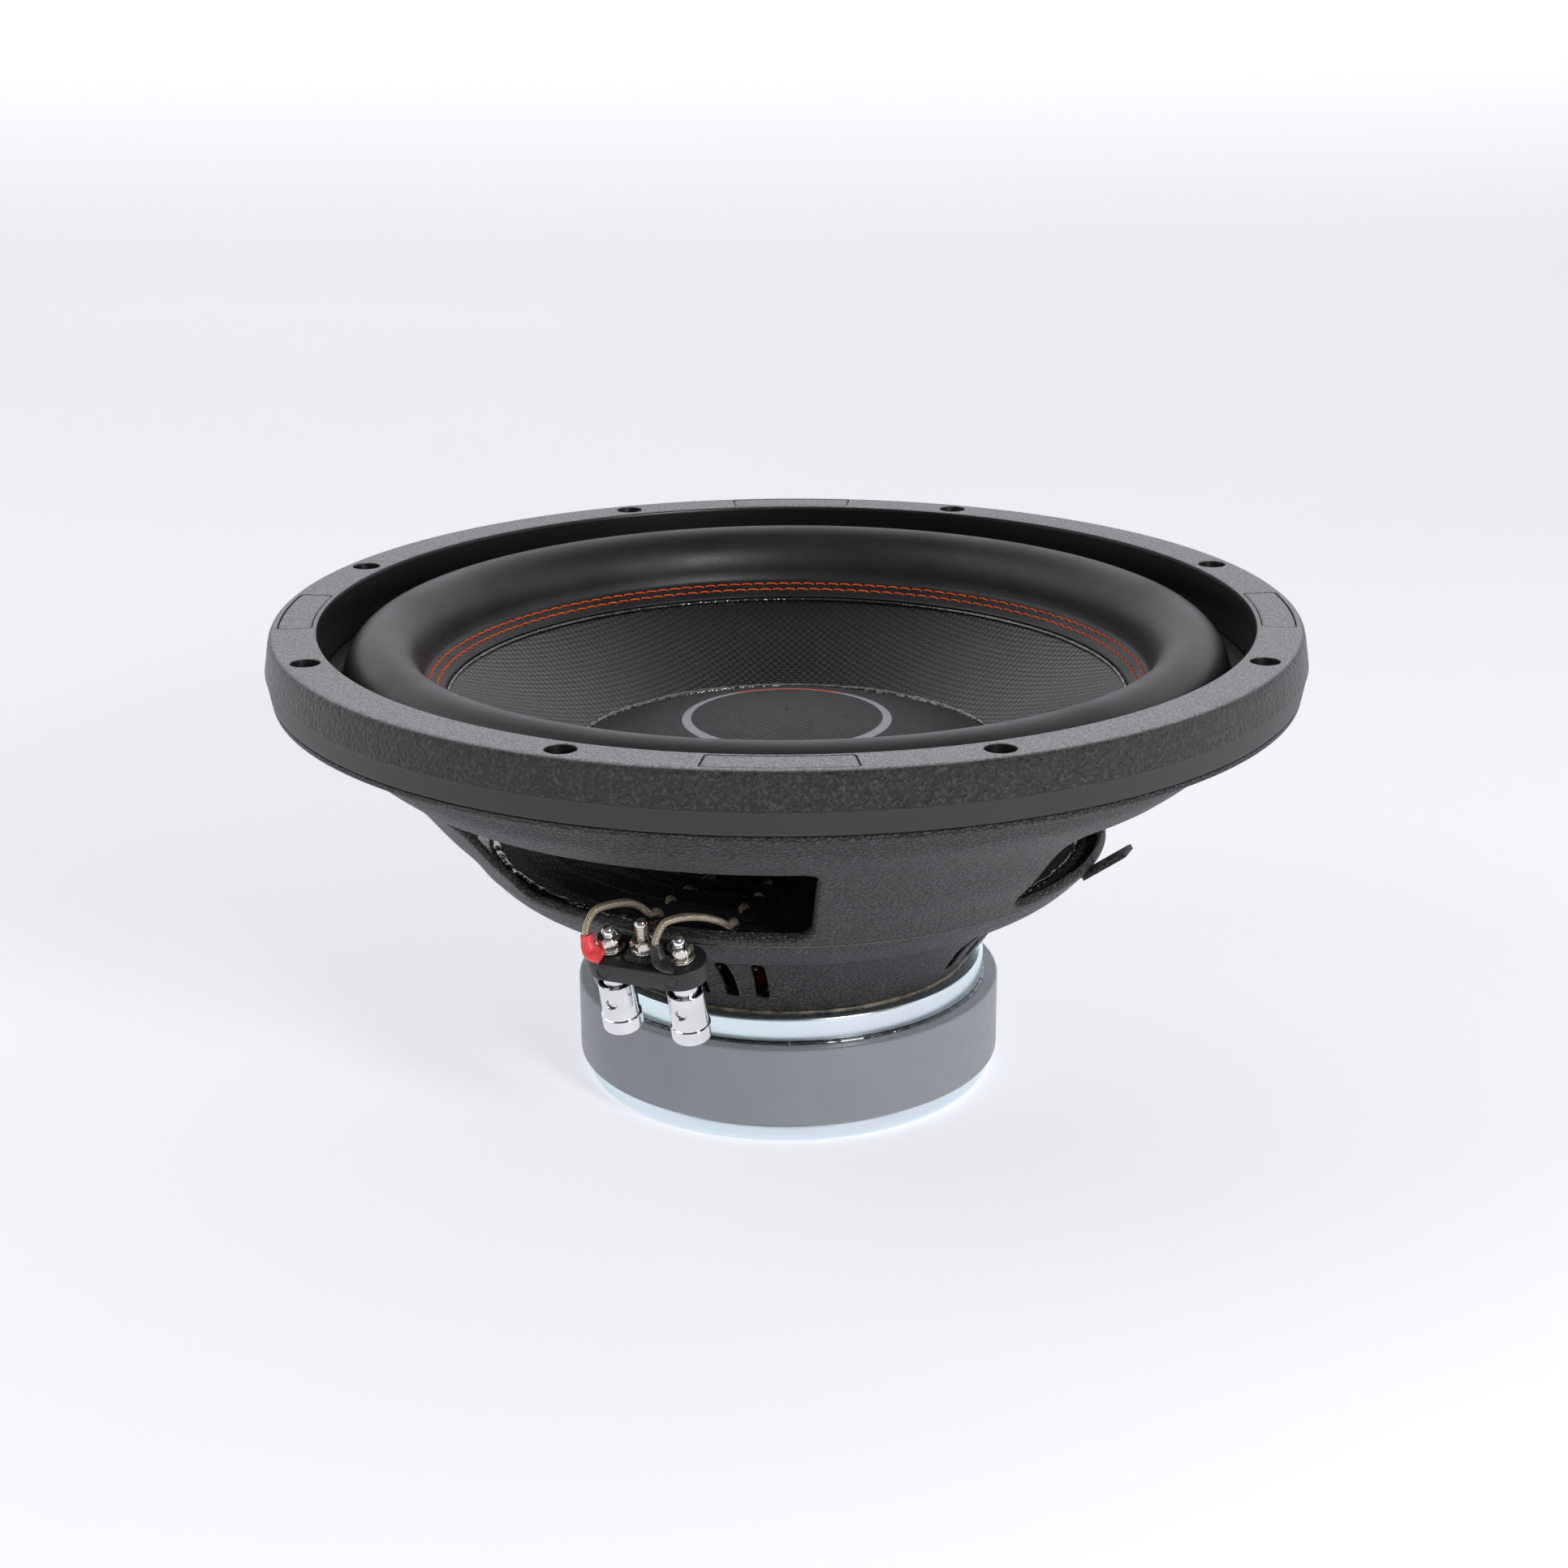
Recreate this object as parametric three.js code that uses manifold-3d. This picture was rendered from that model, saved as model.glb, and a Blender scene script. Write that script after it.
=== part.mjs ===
// Twelve inch car subwoofer driver. Millimetres, +Z up, front (cone side) facing up.
// The origin is on the speaker's axis, at the underside of the back plate.
import * as THREE from 'three';
import { mergeVertices } from 'three/addons/utils/BufferGeometryUtils.js';
import Module from 'manifold-3d';

const wasm = await Module();
wasm.setup();

// ---- driving dimensions --------------------------------------------------------------------
const overall_diameter = 320;
const seat_gap = 0.3;            // between pieces that touch

const back_plate_radius = 65;
const back_plate_thickness = 6.5;
const back_plate_chamfer = 1.2;
const magnet_radius = 67.4;
const magnet_bore_clearance = 4.9; // winding to the magnet's bore
const magnet_thickness = 25;
const magnet_chamfer = 1;
const top_plate_radius = 62.7;
const top_plate_thickness = 8;
const top_plate_chamfer = 0.8;

const coil_radius = 32;          // inside of the voice coil former
const former_wall = 0.6;
const winding_thickness = 1.2;
const winding_length = 26;
const coil_air_gap = 0.9;        // free space on each side of the coil in the magnetic gap
const former_overhang = 3;       // former below the winding
const pole_rise = 1.5;           // pole above the top plate
const vent_radius = 11;

const steel = 1.6;               // basket sheet
const foot_bore_clearance = 5.9;   // winding to the foot's inner edge
const foot_radius = 59.5;
const neck_height = 23.8;        // foot underside to the crease under the bowl
const neck_top_radius = 79;
const ledge_height = 13.5;       // crease to the underside of the spider ledge
const ledge_outer_radius = 99.3;
const ledge_inner_radius = 88;
const sill_height = 2.2;         // underside of the ledge to the window sill
const sill_lean = 2.3;           // sill further out than the ledge
const window_height = 29.6;
const lintel_radius = 129.2;
const rim_height = 19.5;         // window head to the flange underside
const rim_radius = 146.5;
const flange_inset = 2.4;        // inside the gasket's widest edge
const flange_thickness = 1.8;
const window_count = 4;
const window_angle = 55.3;       // degrees of arc
const first_window = -22.5;      // degrees from the front towards +X
const window_flange = 6;         // depth of the turned-in window sides
const slot_count = 5;            // vent slots under each window
const slot_pitch = 8.2;          // degrees
const slot_width = 4.3;
const slot_bottom = 6.5;         // above the foot underside
const slot_height = 17.2;
const top_screw_radius = 2;
const top_screw_inset = 9.5;     // from the foot's outer edge
const top_screw_length = 8;

const gasket_height = 17.8;
const gasket_width = 16.2;       // inner wall to the widest edge
const gasket_top_inset = 2.7;    // top edge inside the widest edge
const gasket_foot_inset = 1.6;
const gasket_grain_height = 10.6; // top face to the widest edge
const bolt_inset = 9.2;          // bolt circle inside the widest edge
const bolt_count = 8;
const gasket_hole_radius = 4.65;
const flange_hole_radius = 2.9;
const pad_inner_margin = 1.5;
const pad_outer_margin = 1.4;
const pad_angle = 15.6;
const pad_depth = 1.6;

const cone_thickness = 1.4;
const cone_lap = 0.1;            // cone's edge under the foot of the roll
const neck_rise = 5.21;          // top of the cone's neck above the spider's middle surface
const cone_edge_drop = 20.3;     // below the gasket face, at cone_radius
const roll_inner_radius = 113.3;
const roll_outer_radius = 136.7;
const roll_height = 14;
const surround_thickness = 1;
const lip_clearance = 0.4;       // lip to the gasket's inner wall
const band_width = 7.1;          // glued band on the cone
const stitch_insets = [1.9, 4.2]; // from the foot of the roll
const thread_radius = 0.35;
const cap_radius = 67.3;
const cap_rise = 13.5;
const cap_thickness = 0.8;

const spider_thickness = 0.7;
const spider_wave_height = 1.5;
const spider_waves = 5;
const spider_rest = 0.6;         // spider's middle surface above its glued edge

const terminal_azimuth = -21.4;
const block_stand_off = 0.6;     // block's back edge to the ledge
const tongue_width = 10;
const tongue_tilt = -15;         // degrees, outer end down
const tongue_bend = 0.9;         // bend of a tongue outside the ledge
const terminal_tongue_rise = 1.1; // bend of the terminal tongue, above the ledge underside
const spare_tongue_rise = -0.8;
const spare_tongue_azimuth = 68.6;
const spare_tongue_tilt = 36;
const spare_tongue_length = 15;
const block_length = 36.6;
const block_width = 15.4;
const block_thickness = 6;
const terminal_spacing = 21.8;
const stud_radius = 2;
const stud_height = 7.4;         // above the block
const nut_flats = 7;
const nut_height = 3.2;
const lug_radius = 4.4;
const lug_thickness = 0.9;
const collar_radius = 4.6;
const collar_height = 1.2;
const rod_radius = 3.7;
const rod_length = 12.5;
const wire_hole_radius = 1.9;
const sleeve_clearance = 0.6;
const sleeve_wall = 1.1;
const sleeve_cap_lip = 0.5;
const spring_length = 5.1;
const sleeve_cap_height = 4.6;
const sleeve_floor = 1.4;
const push_travel = 3.2;
const lead_radius = 1.2;

// ---- radii worked out from them ------------------------------------------------------------
const former_radius = coil_radius + former_wall;
const winding_radius = former_radius + seat_gap + winding_thickness;
const neck_hole_radius = former_radius + seat_gap;
const magnet_bore_radius = winding_radius + magnet_bore_clearance;
const foot_inner_radius = winding_radius + foot_bore_clearance;
const top_screw_circle = foot_radius - top_screw_inset;
const sill_radius = ledge_outer_radius + sill_lean;
const gasket_radius = overall_diameter / 2;
const gasket_inner_radius = gasket_radius - gasket_width;
const gasket_top_radius = gasket_radius - gasket_top_inset;
const gasket_foot_radius = gasket_radius - gasket_foot_inset;
const flange_radius = gasket_radius - flange_inset;
const bolt_circle_radius = gasket_radius - bolt_inset;
const pad_inner_radius = gasket_inner_radius + pad_inner_margin;
const pad_outer_radius = gasket_top_radius - pad_outer_margin;
const surround_lip_radius = gasket_inner_radius - lip_clearance;
const cone_radius = roll_inner_radius + cone_lap;
const band_inner_radius = roll_inner_radius - band_width;
const stitch_radii = stitch_insets.map((inset) => roll_inner_radius - inset);
const tongue_root_radius = ledge_outer_radius + tongue_bend;
const bolt_reach = ledge_outer_radius + block_width / 2 + block_stand_off;
const sleeve_bore_radius = rod_radius + sleeve_clearance;
const sleeve_radius = sleeve_bore_radius + sleeve_wall;
const sleeve_cap_radius = sleeve_radius + sleeve_cap_lip;

// ---- heights worked out from them ----------------------------------------------------------
const magnet_bottom = back_plate_thickness + seat_gap;
const magnet_top = magnet_bottom + magnet_thickness;
const top_plate_bottom = magnet_top + seat_gap;
const top_plate_top = top_plate_bottom + top_plate_thickness;
const foot = top_plate_top + seat_gap;
const crease = foot + neck_height;
const ledge_underside = crease + ledge_height;
const ledge_top = ledge_underside + steel;
const sill = ledge_underside + sill_height + steel;
const terminal_root = ledge_underside + terminal_tongue_rise;
const spare_root = ledge_underside + spare_tongue_rise;
const lintel = sill + window_height;
const flange_underside = lintel + rim_height;
const flange_top = flange_underside + flange_thickness;
const gasket_bottom = flange_top + seat_gap;
const gasket_top = gasket_bottom + gasket_height;
const cone_edge = gasket_top - cone_edge_drop;
const spider_middle = ledge_top + seat_gap + spider_thickness / 2 + spider_rest;
const neck_top = spider_middle + neck_rise;
const cone_slope = (cone_edge - neck_top) / (cone_radius - neck_hole_radius);
const coneTop = (r) => neck_top + (r - neck_hole_radius) * cone_slope;
const gap_middle = top_plate_bottom + top_plate_thickness / 2;
const winding_top = gap_middle + winding_length / 2;
const winding_bottom = gap_middle - winding_length / 2;

// ---- helpers -------------------------------------------------------------------------------
const group = new THREE.Group();
const V = (x, y, z) => new THREE.Vector3(x, y, z);
const rad = THREE.MathUtils.degToRad;

function lathe(points, segments = 48) {
  const profile = [...points, points[0]].map(([r, z]) => new THREE.Vector2(r, z));
  const geometry = new THREE.LatheGeometry(profile, segments);
  geometry.rotateX(Math.PI / 2);
  return geometry;
}

function toManifold(geometry) {
  let bare = geometry.clone();
  bare.deleteAttribute('normal');
  bare.deleteAttribute('uv');
  if (!bare.index) bare.setIndex([...Array(bare.attributes.position.count).keys()]);
  bare = mergeVertices(bare, 1e-4);
  const index = Array.from(bare.index.array);
  const kept = [];
  for (let i = 0; i < index.length; i += 3) {
    const [a, b, c] = index.slice(i, i + 3);
    if (a !== b && b !== c && c !== a) kept.push(a, b, c);
  }
  const vertProperties = new Float32Array(bare.attributes.position.array);
  const mesh = new wasm.Mesh({ numProp: 3, vertProperties, triVerts: new Uint32Array(kept) });
  mesh.merge();
  const solid = new wasm.Manifold(mesh);
  return solid.volume() < 0 ? new wasm.Manifold(flipped(mesh)) : solid;
}

function flipped(mesh) {
  const triVerts = new Uint32Array(mesh.triVerts);
  for (let i = 0; i < triVerts.length; i += 3) {
    [triVerts[i], triVerts[i + 1]] = [triVerts[i + 1], triVerts[i]];
  }
  return new wasm.Mesh({ numProp: 3, vertProperties: mesh.vertProperties, triVerts });
}

function toGeometry(solid) {
  const mesh = solid.getMesh();
  const geometry = new THREE.BufferGeometry();
  geometry.setAttribute('position', new THREE.BufferAttribute(mesh.vertProperties, 3));
  geometry.setIndex(new THREE.BufferAttribute(mesh.triVerts, 1));
  return geometry;
}

// A closed ring or disc of revolution as a solid that faces outwards.
const turned = (points, segments) => toManifold(lathe(points, segments));

function cylinder(radius, bottom, top, sides = 16) {
  const geometry = new THREE.CylinderGeometry(radius, radius, top - bottom, sides);
  geometry.rotateX(Math.PI / 2);
  geometry.translate(0, 0, (bottom + top) / 2);
  return geometry;
}

function hexNut(flats, bore, bottom, top) {
  const hex = cylinder(flats / Math.sqrt(3), bottom, top, 6);
  return toManifold(hex).subtract(toManifold(cylinder(bore, bottom - 1, top + 1, 12)));
}

// A tube of round or oval section that follows a smooth curve through the given points.
function tube(points, radius, steps, sides = 6, flat = 1) {
  const path = new THREE.CatmullRomCurve3(points);
  const section = new THREE.Shape();
  for (let i = 0; i < sides; i += 1) {
    const a = (i / sides) * Math.PI * 2;
    const x = Math.cos(a) * radius;
    const y = Math.sin(a) * radius * flat;
    if (i === 0) section.moveTo(x, y);
    else section.lineTo(x, y);
  }
  section.closePath();
  return new THREE.ExtrudeGeometry(section, { steps, extrudePath: path, bevelEnabled: false });
}

function material(color, roughness, metalness) {
  return new THREE.MeshStandardMaterial({ color, roughness, metalness });
}

const finish = {
  powder_coat: material(0x1b1b1d, 0.75, 0.1),
  gasket_rubber: material(0x26262a, 0.8, 0),
  surround_rubber: material(0x18181b, 0.4, 0),
  zinc: material(0x9fb3b8, 0.3, 0.9),
  ferrite: material(0x4a4a4c, 0.7, 0.1),
  cone_weave: material(0x17171a, 0.4, 0),
  cap_weave: material(0x1c1c20, 0.55, 0),
  thread: material(0xe2411c, 0.6, 0),
  kapton: material(0x5a3a1c, 0.4, 0),
  copper: material(0xb5552a, 0.35, 0.8),
  spider_cloth: material(0x121418, 0.85, 0),
  block_plastic: material(0x1a1a1c, 0.5, 0),
  chrome: material(0xd8dadd, 0.08, 1),
  nickel: material(0xb0a48e, 0.25, 1),
  red_shrink: material(0xd42a3a, 0.45, 0),
  black_shrink: material(0x2a2a2d, 0.5, 0),
  braid: material(0xb7a184, 0.45, 0.6),
  spring_steel: material(0x8f9296, 0.35, 1),
};

function add(name, shape, look, parent = group) {
  const geometry = shape.isBufferGeometry ? shape : toGeometry(shape);
  const mesh = new THREE.Mesh(geometry, look);
  mesh.name = name;
  parent.add(mesh);
  return mesh;
}

// ---- directions on the basket --------------------------------------------------------------
// Azimuths are in degrees from the front (-Y) towards +X.
const outward = (azimuth) => V(Math.sin(rad(azimuth)), -Math.cos(rad(azimuth)), 0);
const windowAzimuths = [...Array(window_count).keys()].map((i) => first_window + (i * 360) / window_count);

// A block that stands on the radial plane at an azimuth, sized tangentially, radially and in height.
function radialBox(azimuth, width, r0, r1, z0, z1) {
  const box = new THREE.BoxGeometry(width, r1 - r0, z1 - z0);
  box.translate(0, -(r0 + r1) / 2, (z0 + z1) / 2);
  box.rotateZ(rad(azimuth));
  return toManifold(box);
}

function sector(azimuth, angle, r0, r1, z0, z1, steps = 6) {
  const shape = new THREE.Shape();
  const start = rad(azimuth - angle / 2 - 90);
  const end = rad(azimuth + angle / 2 - 90);
  for (let i = 0; i <= steps; i += 1) {
    const a = start + ((end - start) * i) / steps;
    if (i === 0) shape.moveTo(r1 * Math.cos(a), r1 * Math.sin(a));
    else shape.lineTo(r1 * Math.cos(a), r1 * Math.sin(a));
  }
  for (let i = steps; i >= 0; i -= 1) {
    const a = start + ((end - start) * i) / steps;
    shape.lineTo(r0 * Math.cos(a), r0 * Math.sin(a));
  }
  const solid = new THREE.ExtrudeGeometry(shape, { depth: z1 - z0, bevelEnabled: false });
  solid.translate(0, 0, z0);
  return toManifold(solid);
}

// ---- motor ---------------------------------------------------------------------------------
function backPlateAndPole() {
  const pole_radius = coil_radius - coil_air_gap;
  const pole_top = top_plate_top + pole_rise;
  const c = back_plate_chamfer;
  return turned([
    [vent_radius + 2, 0],
    [back_plate_radius - c, 0],
    [back_plate_radius, c],
    [back_plate_radius, back_plate_thickness],
    [pole_radius, back_plate_thickness],
    [pole_radius, pole_top],
    [vent_radius, pole_top],
    [vent_radius, 2],
  ]);
}

function ring(inner, outer, bottom, top, chamfer) {
  return turned([
    [inner, bottom],
    [outer - chamfer, bottom],
    [outer, bottom + chamfer],
    [outer, top - chamfer],
    [outer - chamfer, top],
    [inner, top],
  ]);
}

function topPlate() {
  const bore = winding_radius + coil_air_gap;
  let plate = ring(bore, top_plate_radius, top_plate_bottom, top_plate_top, top_plate_chamfer);
  for (const screw of topScrewPlaces()) {
    const depth = top_plate_top - top_screw_length + steel;
    const hole = cylinder(top_screw_radius + seat_gap, depth - seat_gap, top_plate_top + 1, 12);
    hole.translate(screw.x, screw.y, 0);
    plate = plate.subtract(toManifold(hole));
  }
  return plate;
}

function topScrewPlaces() {
  return windowAzimuths.map((azimuth) => {
    return outward(azimuth + 180 / window_count).multiplyScalar(top_screw_circle);
  });
}

function topScrew(place) {
  const head = foot + steel + seat_gap;
  const shank = cylinder(top_screw_radius, head - top_screw_length, head + 0.5, 12);
  const cap = cylinder(top_screw_radius * 1.8, head, head + 2.2, 12);
  const screw = toManifold(shank).add(toManifold(cap));
  return screw.translate([place.x, place.y, 0]);
}

// ---- basket --------------------------------------------------------------------------------
// Outer face of the pressed steel, from the foot up to the flange.
function basketOuterFace() {
  const bowl = new THREE.SplineCurve([
    new THREE.Vector2(neck_top_radius, crease),
    new THREE.Vector2((neck_top_radius + ledge_outer_radius) / 2 + 2, crease + ledge_height * 0.42),
    new THREE.Vector2(ledge_outer_radius, ledge_underside),
    new THREE.Vector2(sill_radius, sill),
    new THREE.Vector2((sill_radius + lintel_radius) / 2 + 1.6, sill + window_height * 0.56),
    new THREE.Vector2(lintel_radius, lintel),
    new THREE.Vector2(lintel_radius * 0.4 + rim_radius * 0.6, lintel + rim_height * 0.4),
    new THREE.Vector2(rim_radius, flange_underside - 4),
  ]);
  const face = [
    [foot_inner_radius, foot],
    [foot_radius, foot],
    [foot_radius + 1.6, foot + 2.6],
  ];
  for (const p of bowl.getPoints(11)) face.push([p.x, p.y]);
  face.push([rim_radius + 2.4, flange_underside]);
  return face;
}

// The face moved inwards by the sheet's thickness.
function offsetFace(face, distance) {
  return face.map(([r, z], i) => {
    const [ra, za] = face[Math.max(i - 1, 0)];
    const [rb, zb] = face[Math.min(i + 1, face.length - 1)];
    const length = Math.hypot(rb - ra, zb - za);
    return [r - ((zb - za) / length) * distance, z + ((rb - ra) / length) * distance];
  });
}

function basket() {
  const outer = basketOuterFace();
  const inner = offsetFace(outer, steel).slice(0, -1);
  const flange = [
    [flange_radius, flange_underside],
    [flange_radius, flange_top],
    [rim_radius - 7, flange_top],
  ];
  let body = turned([...outer, ...flange, ...inner.reverse()]);
  const thick = turned([...outer, [rim_radius, flange_top], ...offsetFace(outer, window_flange).reverse()]);
  body = body.add(turned([
    [ledge_inner_radius, ledge_underside],
    [ledge_outer_radius - steel / 2, ledge_underside],
    [ledge_outer_radius - steel / 2, ledge_top],
    [ledge_inner_radius, ledge_top],
  ]));
  for (const azimuth of windowAzimuths) {
    body = body.subtract(sector(azimuth, window_angle, neck_top_radius, flange_radius, sill, lintel));
    for (const side of [-1, 1]) {
      const edge = azimuth + (side * window_angle) / 2;
      const web = radialBox(edge, steel, neck_top_radius, rim_radius, sill - steel / 2, lintel + steel);
      body = body.add(web.intersect(thick));
    }
    for (let i = 0; i < slot_count; i += 1) {
      const slot = azimuth + (i - (slot_count - 1) / 2) * slot_pitch;
      const low = foot + slot_bottom;
      body = body.subtract(radialBox(slot, slot_width, foot_radius - 6, neck_top_radius + 6, low, low + slot_height));
    }
  }
  for (const screw of topScrewPlaces()) {
    const hole = cylinder(top_screw_radius + seat_gap, foot - 1, foot + steel + 1, 12);
    hole.translate(screw.x, screw.y, 0);
    body = body.subtract(toManifold(hole));
  }
  for (const place of boltPlaces()) {
    const hole = cylinder(flange_hole_radius, flange_underside - 1, flange_top + 1, 16);
    hole.translate(place.x, place.y, 0);
    body = body.subtract(toManifold(hole));
  }
  body = body.add(tongue(terminal_azimuth, tongue_tilt, terminal_root, bolt_reach - tongue_root_radius + 5.2));
  body = body.add(tongue(spare_tongue_azimuth, spare_tongue_tilt, spare_root, spare_tongue_length));
  const clearance = cylinder(stud_radius + seat_gap, -steel * 2, steel * 2, 12);
  return body.subtract(toManifold(placed(clearance)));
}

function boltPlaces() {
  return [...Array(bolt_count).keys()].map((i) => {
    const azimuth = ((i + 0.5) * 360) / bolt_count;
    return outward(azimuth).multiplyScalar(bolt_circle_radius);
  });
}

// A strip of the sheet below the sill, bent outwards.
function tongue(azimuth, tilt, height, length) {
  const strip = new THREE.BoxGeometry(tongue_width, length + steel, steel);
  strip.translate(0, -(length - steel) / 2, steel / 2);
  strip.rotateX(rad(-tilt));
  strip.translate(0, -tongue_root_radius, height);
  strip.rotateZ(rad(azimuth));
  const leg = tongue_root_radius - 0.4;
  const root = radialBox(azimuth, tongue_width, leg - steel, leg, height, ledge_top);
  return toManifold(strip).add(root);
}

// Local frame of the terminal block: x along it, y inwards, z up out of the tongue's underside.
function placed(geometry) {
  geometry.rotateX(rad(-tongue_tilt));
  const reach = bolt_reach - tongue_root_radius;
  const drop = reach * Math.tan(rad(-tongue_tilt));
  geometry.translate(0, -bolt_reach, terminal_root - drop);
  geometry.rotateZ(rad(terminal_azimuth));
  return geometry;
}

// ---- gasket --------------------------------------------------------------------------------
function gasket() {
  let body = turned([
    [gasket_inner_radius, gasket_bottom],
    [gasket_foot_radius, gasket_bottom],
    [gasket_radius, gasket_top - gasket_grain_height - 0.8],
    [gasket_radius, gasket_top - gasket_grain_height],
    [gasket_top_radius + 1.2, gasket_top - 1.6],
    [gasket_top_radius, gasket_top],
    [gasket_inner_radius, gasket_top],
  ]);
  for (const place of boltPlaces()) {
    const hole = cylinder(gasket_hole_radius, gasket_bottom - 1, gasket_top + 1, 20);
    hole.translate(place.x, place.y, 0);
    body = body.subtract(toManifold(hole));
  }
  for (let i = 0; i < 4; i += 1) {
    const floor = gasket_top - pad_depth - seat_gap;
    body = body.subtract(pad(i * 90, seat_gap, floor, gasket_top + 1));
  }
  return body;
}

function pad(azimuth, grow, bottom, top) {
  const middle = (pad_inner_radius + pad_outer_radius) / 2;
  const angle = pad_angle + THREE.MathUtils.radToDeg((2 * grow) / middle);
  return sector(azimuth, angle, pad_inner_radius - grow, pad_outer_radius + grow, bottom, top, 3);
}

// ---- moving parts --------------------------------------------------------------------------
function cone() {
  return turned([
    [neck_hole_radius, coneTop(neck_hole_radius) - cone_thickness],
    [cone_radius, coneTop(cone_radius) - cone_thickness],
    [cone_radius, coneTop(cone_radius)],
    [neck_hole_radius, coneTop(neck_hole_radius)],
  ]);
}

// Half roll with a glued band on the cone and a flat lip on the basket flange.
function surround() {
  const middle = (roll_inner_radius + roll_outer_radius) / 2;
  const half = (roll_outer_radius - roll_inner_radius) / 2;
  const base = flange_top + seat_gap + surround_thickness;
  const arc = (a, inset) => [
    middle - (half - inset) * Math.cos(a),
    base + (roll_height - inset) * Math.sin(a),
  ];
  const steps = 9;
  const top = [];
  const under = [];
  for (let i = 1; i <= steps; i += 1) {
    top.push(arc((Math.PI * i) / steps, 0));
    under.push(arc((Math.PI * i) / steps, surround_thickness));
  }
  const band = (r, lift) => [r, coneTop(r) + seat_gap + lift];
  return turned([
    band(band_inner_radius, 0),
    band(roll_inner_radius + surround_thickness, 0),
    ...under.slice(0, -1),
    [roll_outer_radius - surround_thickness, base - surround_thickness],
    [surround_lip_radius, base - surround_thickness],
    [surround_lip_radius, base],
    ...top.reverse(),
    band(roll_inner_radius, surround_thickness),
    band(band_inner_radius, surround_thickness),
  ], 40);
}

function stitchRow(radius) {
  const lift = coneTop(radius) + 2 * seat_gap + surround_thickness + thread_radius * 1.2;
  const row = new THREE.TorusGeometry(radius, thread_radius, 5, 48);
  row.translate(0, 0, lift);
  return toManifold(row);
}

function dustCap() {
  const base = coneTop(cap_radius) + seat_gap;
  const bulge = (cap_radius * cap_radius + cap_rise * cap_rise) / (2 * cap_rise);
  const height = (r, inset) => base + cap_rise - bulge + Math.sqrt((bulge - inset) ** 2 - r * r);
  const top = [[cap_radius, base + 0.2]];
  const under = [[cap_radius - 1.4, base + 0.05]];
  for (let i = 4; i >= 0; i -= 1) {
    const r = (cap_radius * i) / 5;
    top.push([r, height(r, 0)]);
    under.push([r, height(r, cap_thickness)]);
  }
  const profile = [...top, ...under.reverse()].map(([r, z]) => new THREE.Vector2(r, z));
  profile.push(profile[0].clone());
  const shell = new THREE.LatheGeometry(profile, 40);
  shell.rotateX(Math.PI / 2);
  return toManifold(shell);
}

function spider() {
  const outer_flat = ledge_inner_radius - 1;
  const inner_flat = neck_hole_radius + 2.6;
  const z = spider_middle;
  const wave = (r) => {
    const phase = ((r - inner_flat) / (outer_flat - inner_flat)) * spider_waves * Math.PI * 2;
    return z + spider_wave_height * Math.sin(phase);
  };
  const under = [[neck_hole_radius, z - 1.6]];
  const top = [[neck_hole_radius, z + 0.6]];
  const steps = spider_waves * 4;
  for (let i = 0; i <= steps; i += 1) {
    const r = inner_flat + ((outer_flat - inner_flat) * i) / steps;
    const drop = i === steps ? spider_rest : 0;
    under.push([r, wave(r) - drop - spider_thickness / 2]);
    top.push([r, wave(r) - drop + spider_thickness / 2]);
  }
  const edge = ledge_outer_radius - steel - 3;
  under.push([edge, ledge_top + seat_gap]);
  top.push([edge, ledge_top + seat_gap + spider_thickness]);
  return turned([...under, ...top.reverse()], 32);
}

function former() {
  return ring(coil_radius, former_radius, winding_bottom - former_overhang, coneTop(neck_hole_radius) + 2.2, 0.1);
}

function winding() {
  return ring(former_radius + seat_gap, winding_radius, winding_bottom, winding_top, 0.2);
}

// ---- terminals -----------------------------------------------------------------------------
// All in the block's local frame, then placed. Its top is one seat gap below the tongue.
const block_top = -seat_gap;
const block_bottom = block_top - block_thickness;

function terminalBlock() {
  const half = (block_length - block_width) / 2;
  const outline = new THREE.Shape();
  outline.absarc(half, 0, block_width / 2, -Math.PI / 2, Math.PI / 2);
  outline.absarc(-half, 0, block_width / 2, Math.PI / 2, (Math.PI * 3) / 2);
  const plate = new THREE.ExtrudeGeometry(outline, {
    depth: block_thickness, bevelEnabled: false, curveSegments: 8,
  });
  plate.translate(0, 0, block_bottom);
  let body = toManifold(plate);
  for (const x of [-terminal_spacing / 2, 0, terminal_spacing / 2]) {
    const hole = cylinder(stud_radius + seat_gap, block_bottom - 1, block_top + 1, 12);
    hole.translate(x, 0, 0);
    body = body.subtract(toManifold(hole));
  }
  return placed(toGeometry(body));
}

const collar_bottom = block_bottom - seat_gap - collar_height;
const rod_bottom = collar_bottom - rod_length;
const rest_gap = push_travel + 0.2;  // collar to sleeve, so that it never bottoms out
const sleeve_top = collar_bottom - rest_gap;
const spring_top = rod_bottom - seat_gap;
const spring_bottom = spring_top - spring_length;
const sleeve_bottom = spring_bottom - seat_gap - sleeve_floor;
const rod_hole = collar_bottom - rest_gap - 1.9 + push_travel - 1.6;

function wireHole(z, reach) {
  const hole = new THREE.CylinderGeometry(wire_hole_radius, wire_hole_radius, reach * 2, 10);
  hole.translate(0, 0, z);
  return toManifold(hole);
}

function post(x) {
  let body = toManifold(cylinder(stud_radius, collar_bottom - 1, block_top + stud_height, 12));
  body = body.add(toManifold(cylinder(collar_radius, collar_bottom, block_bottom - seat_gap, 20)));
  body = body.add(toManifold(cylinder(rod_radius, rod_bottom, collar_bottom + 0.5, 16)));
  body = body.subtract(wireHole(rod_hole, rod_radius + 1));
  return placed(toGeometry(body.translate([x, 0, 0])));
}

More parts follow.
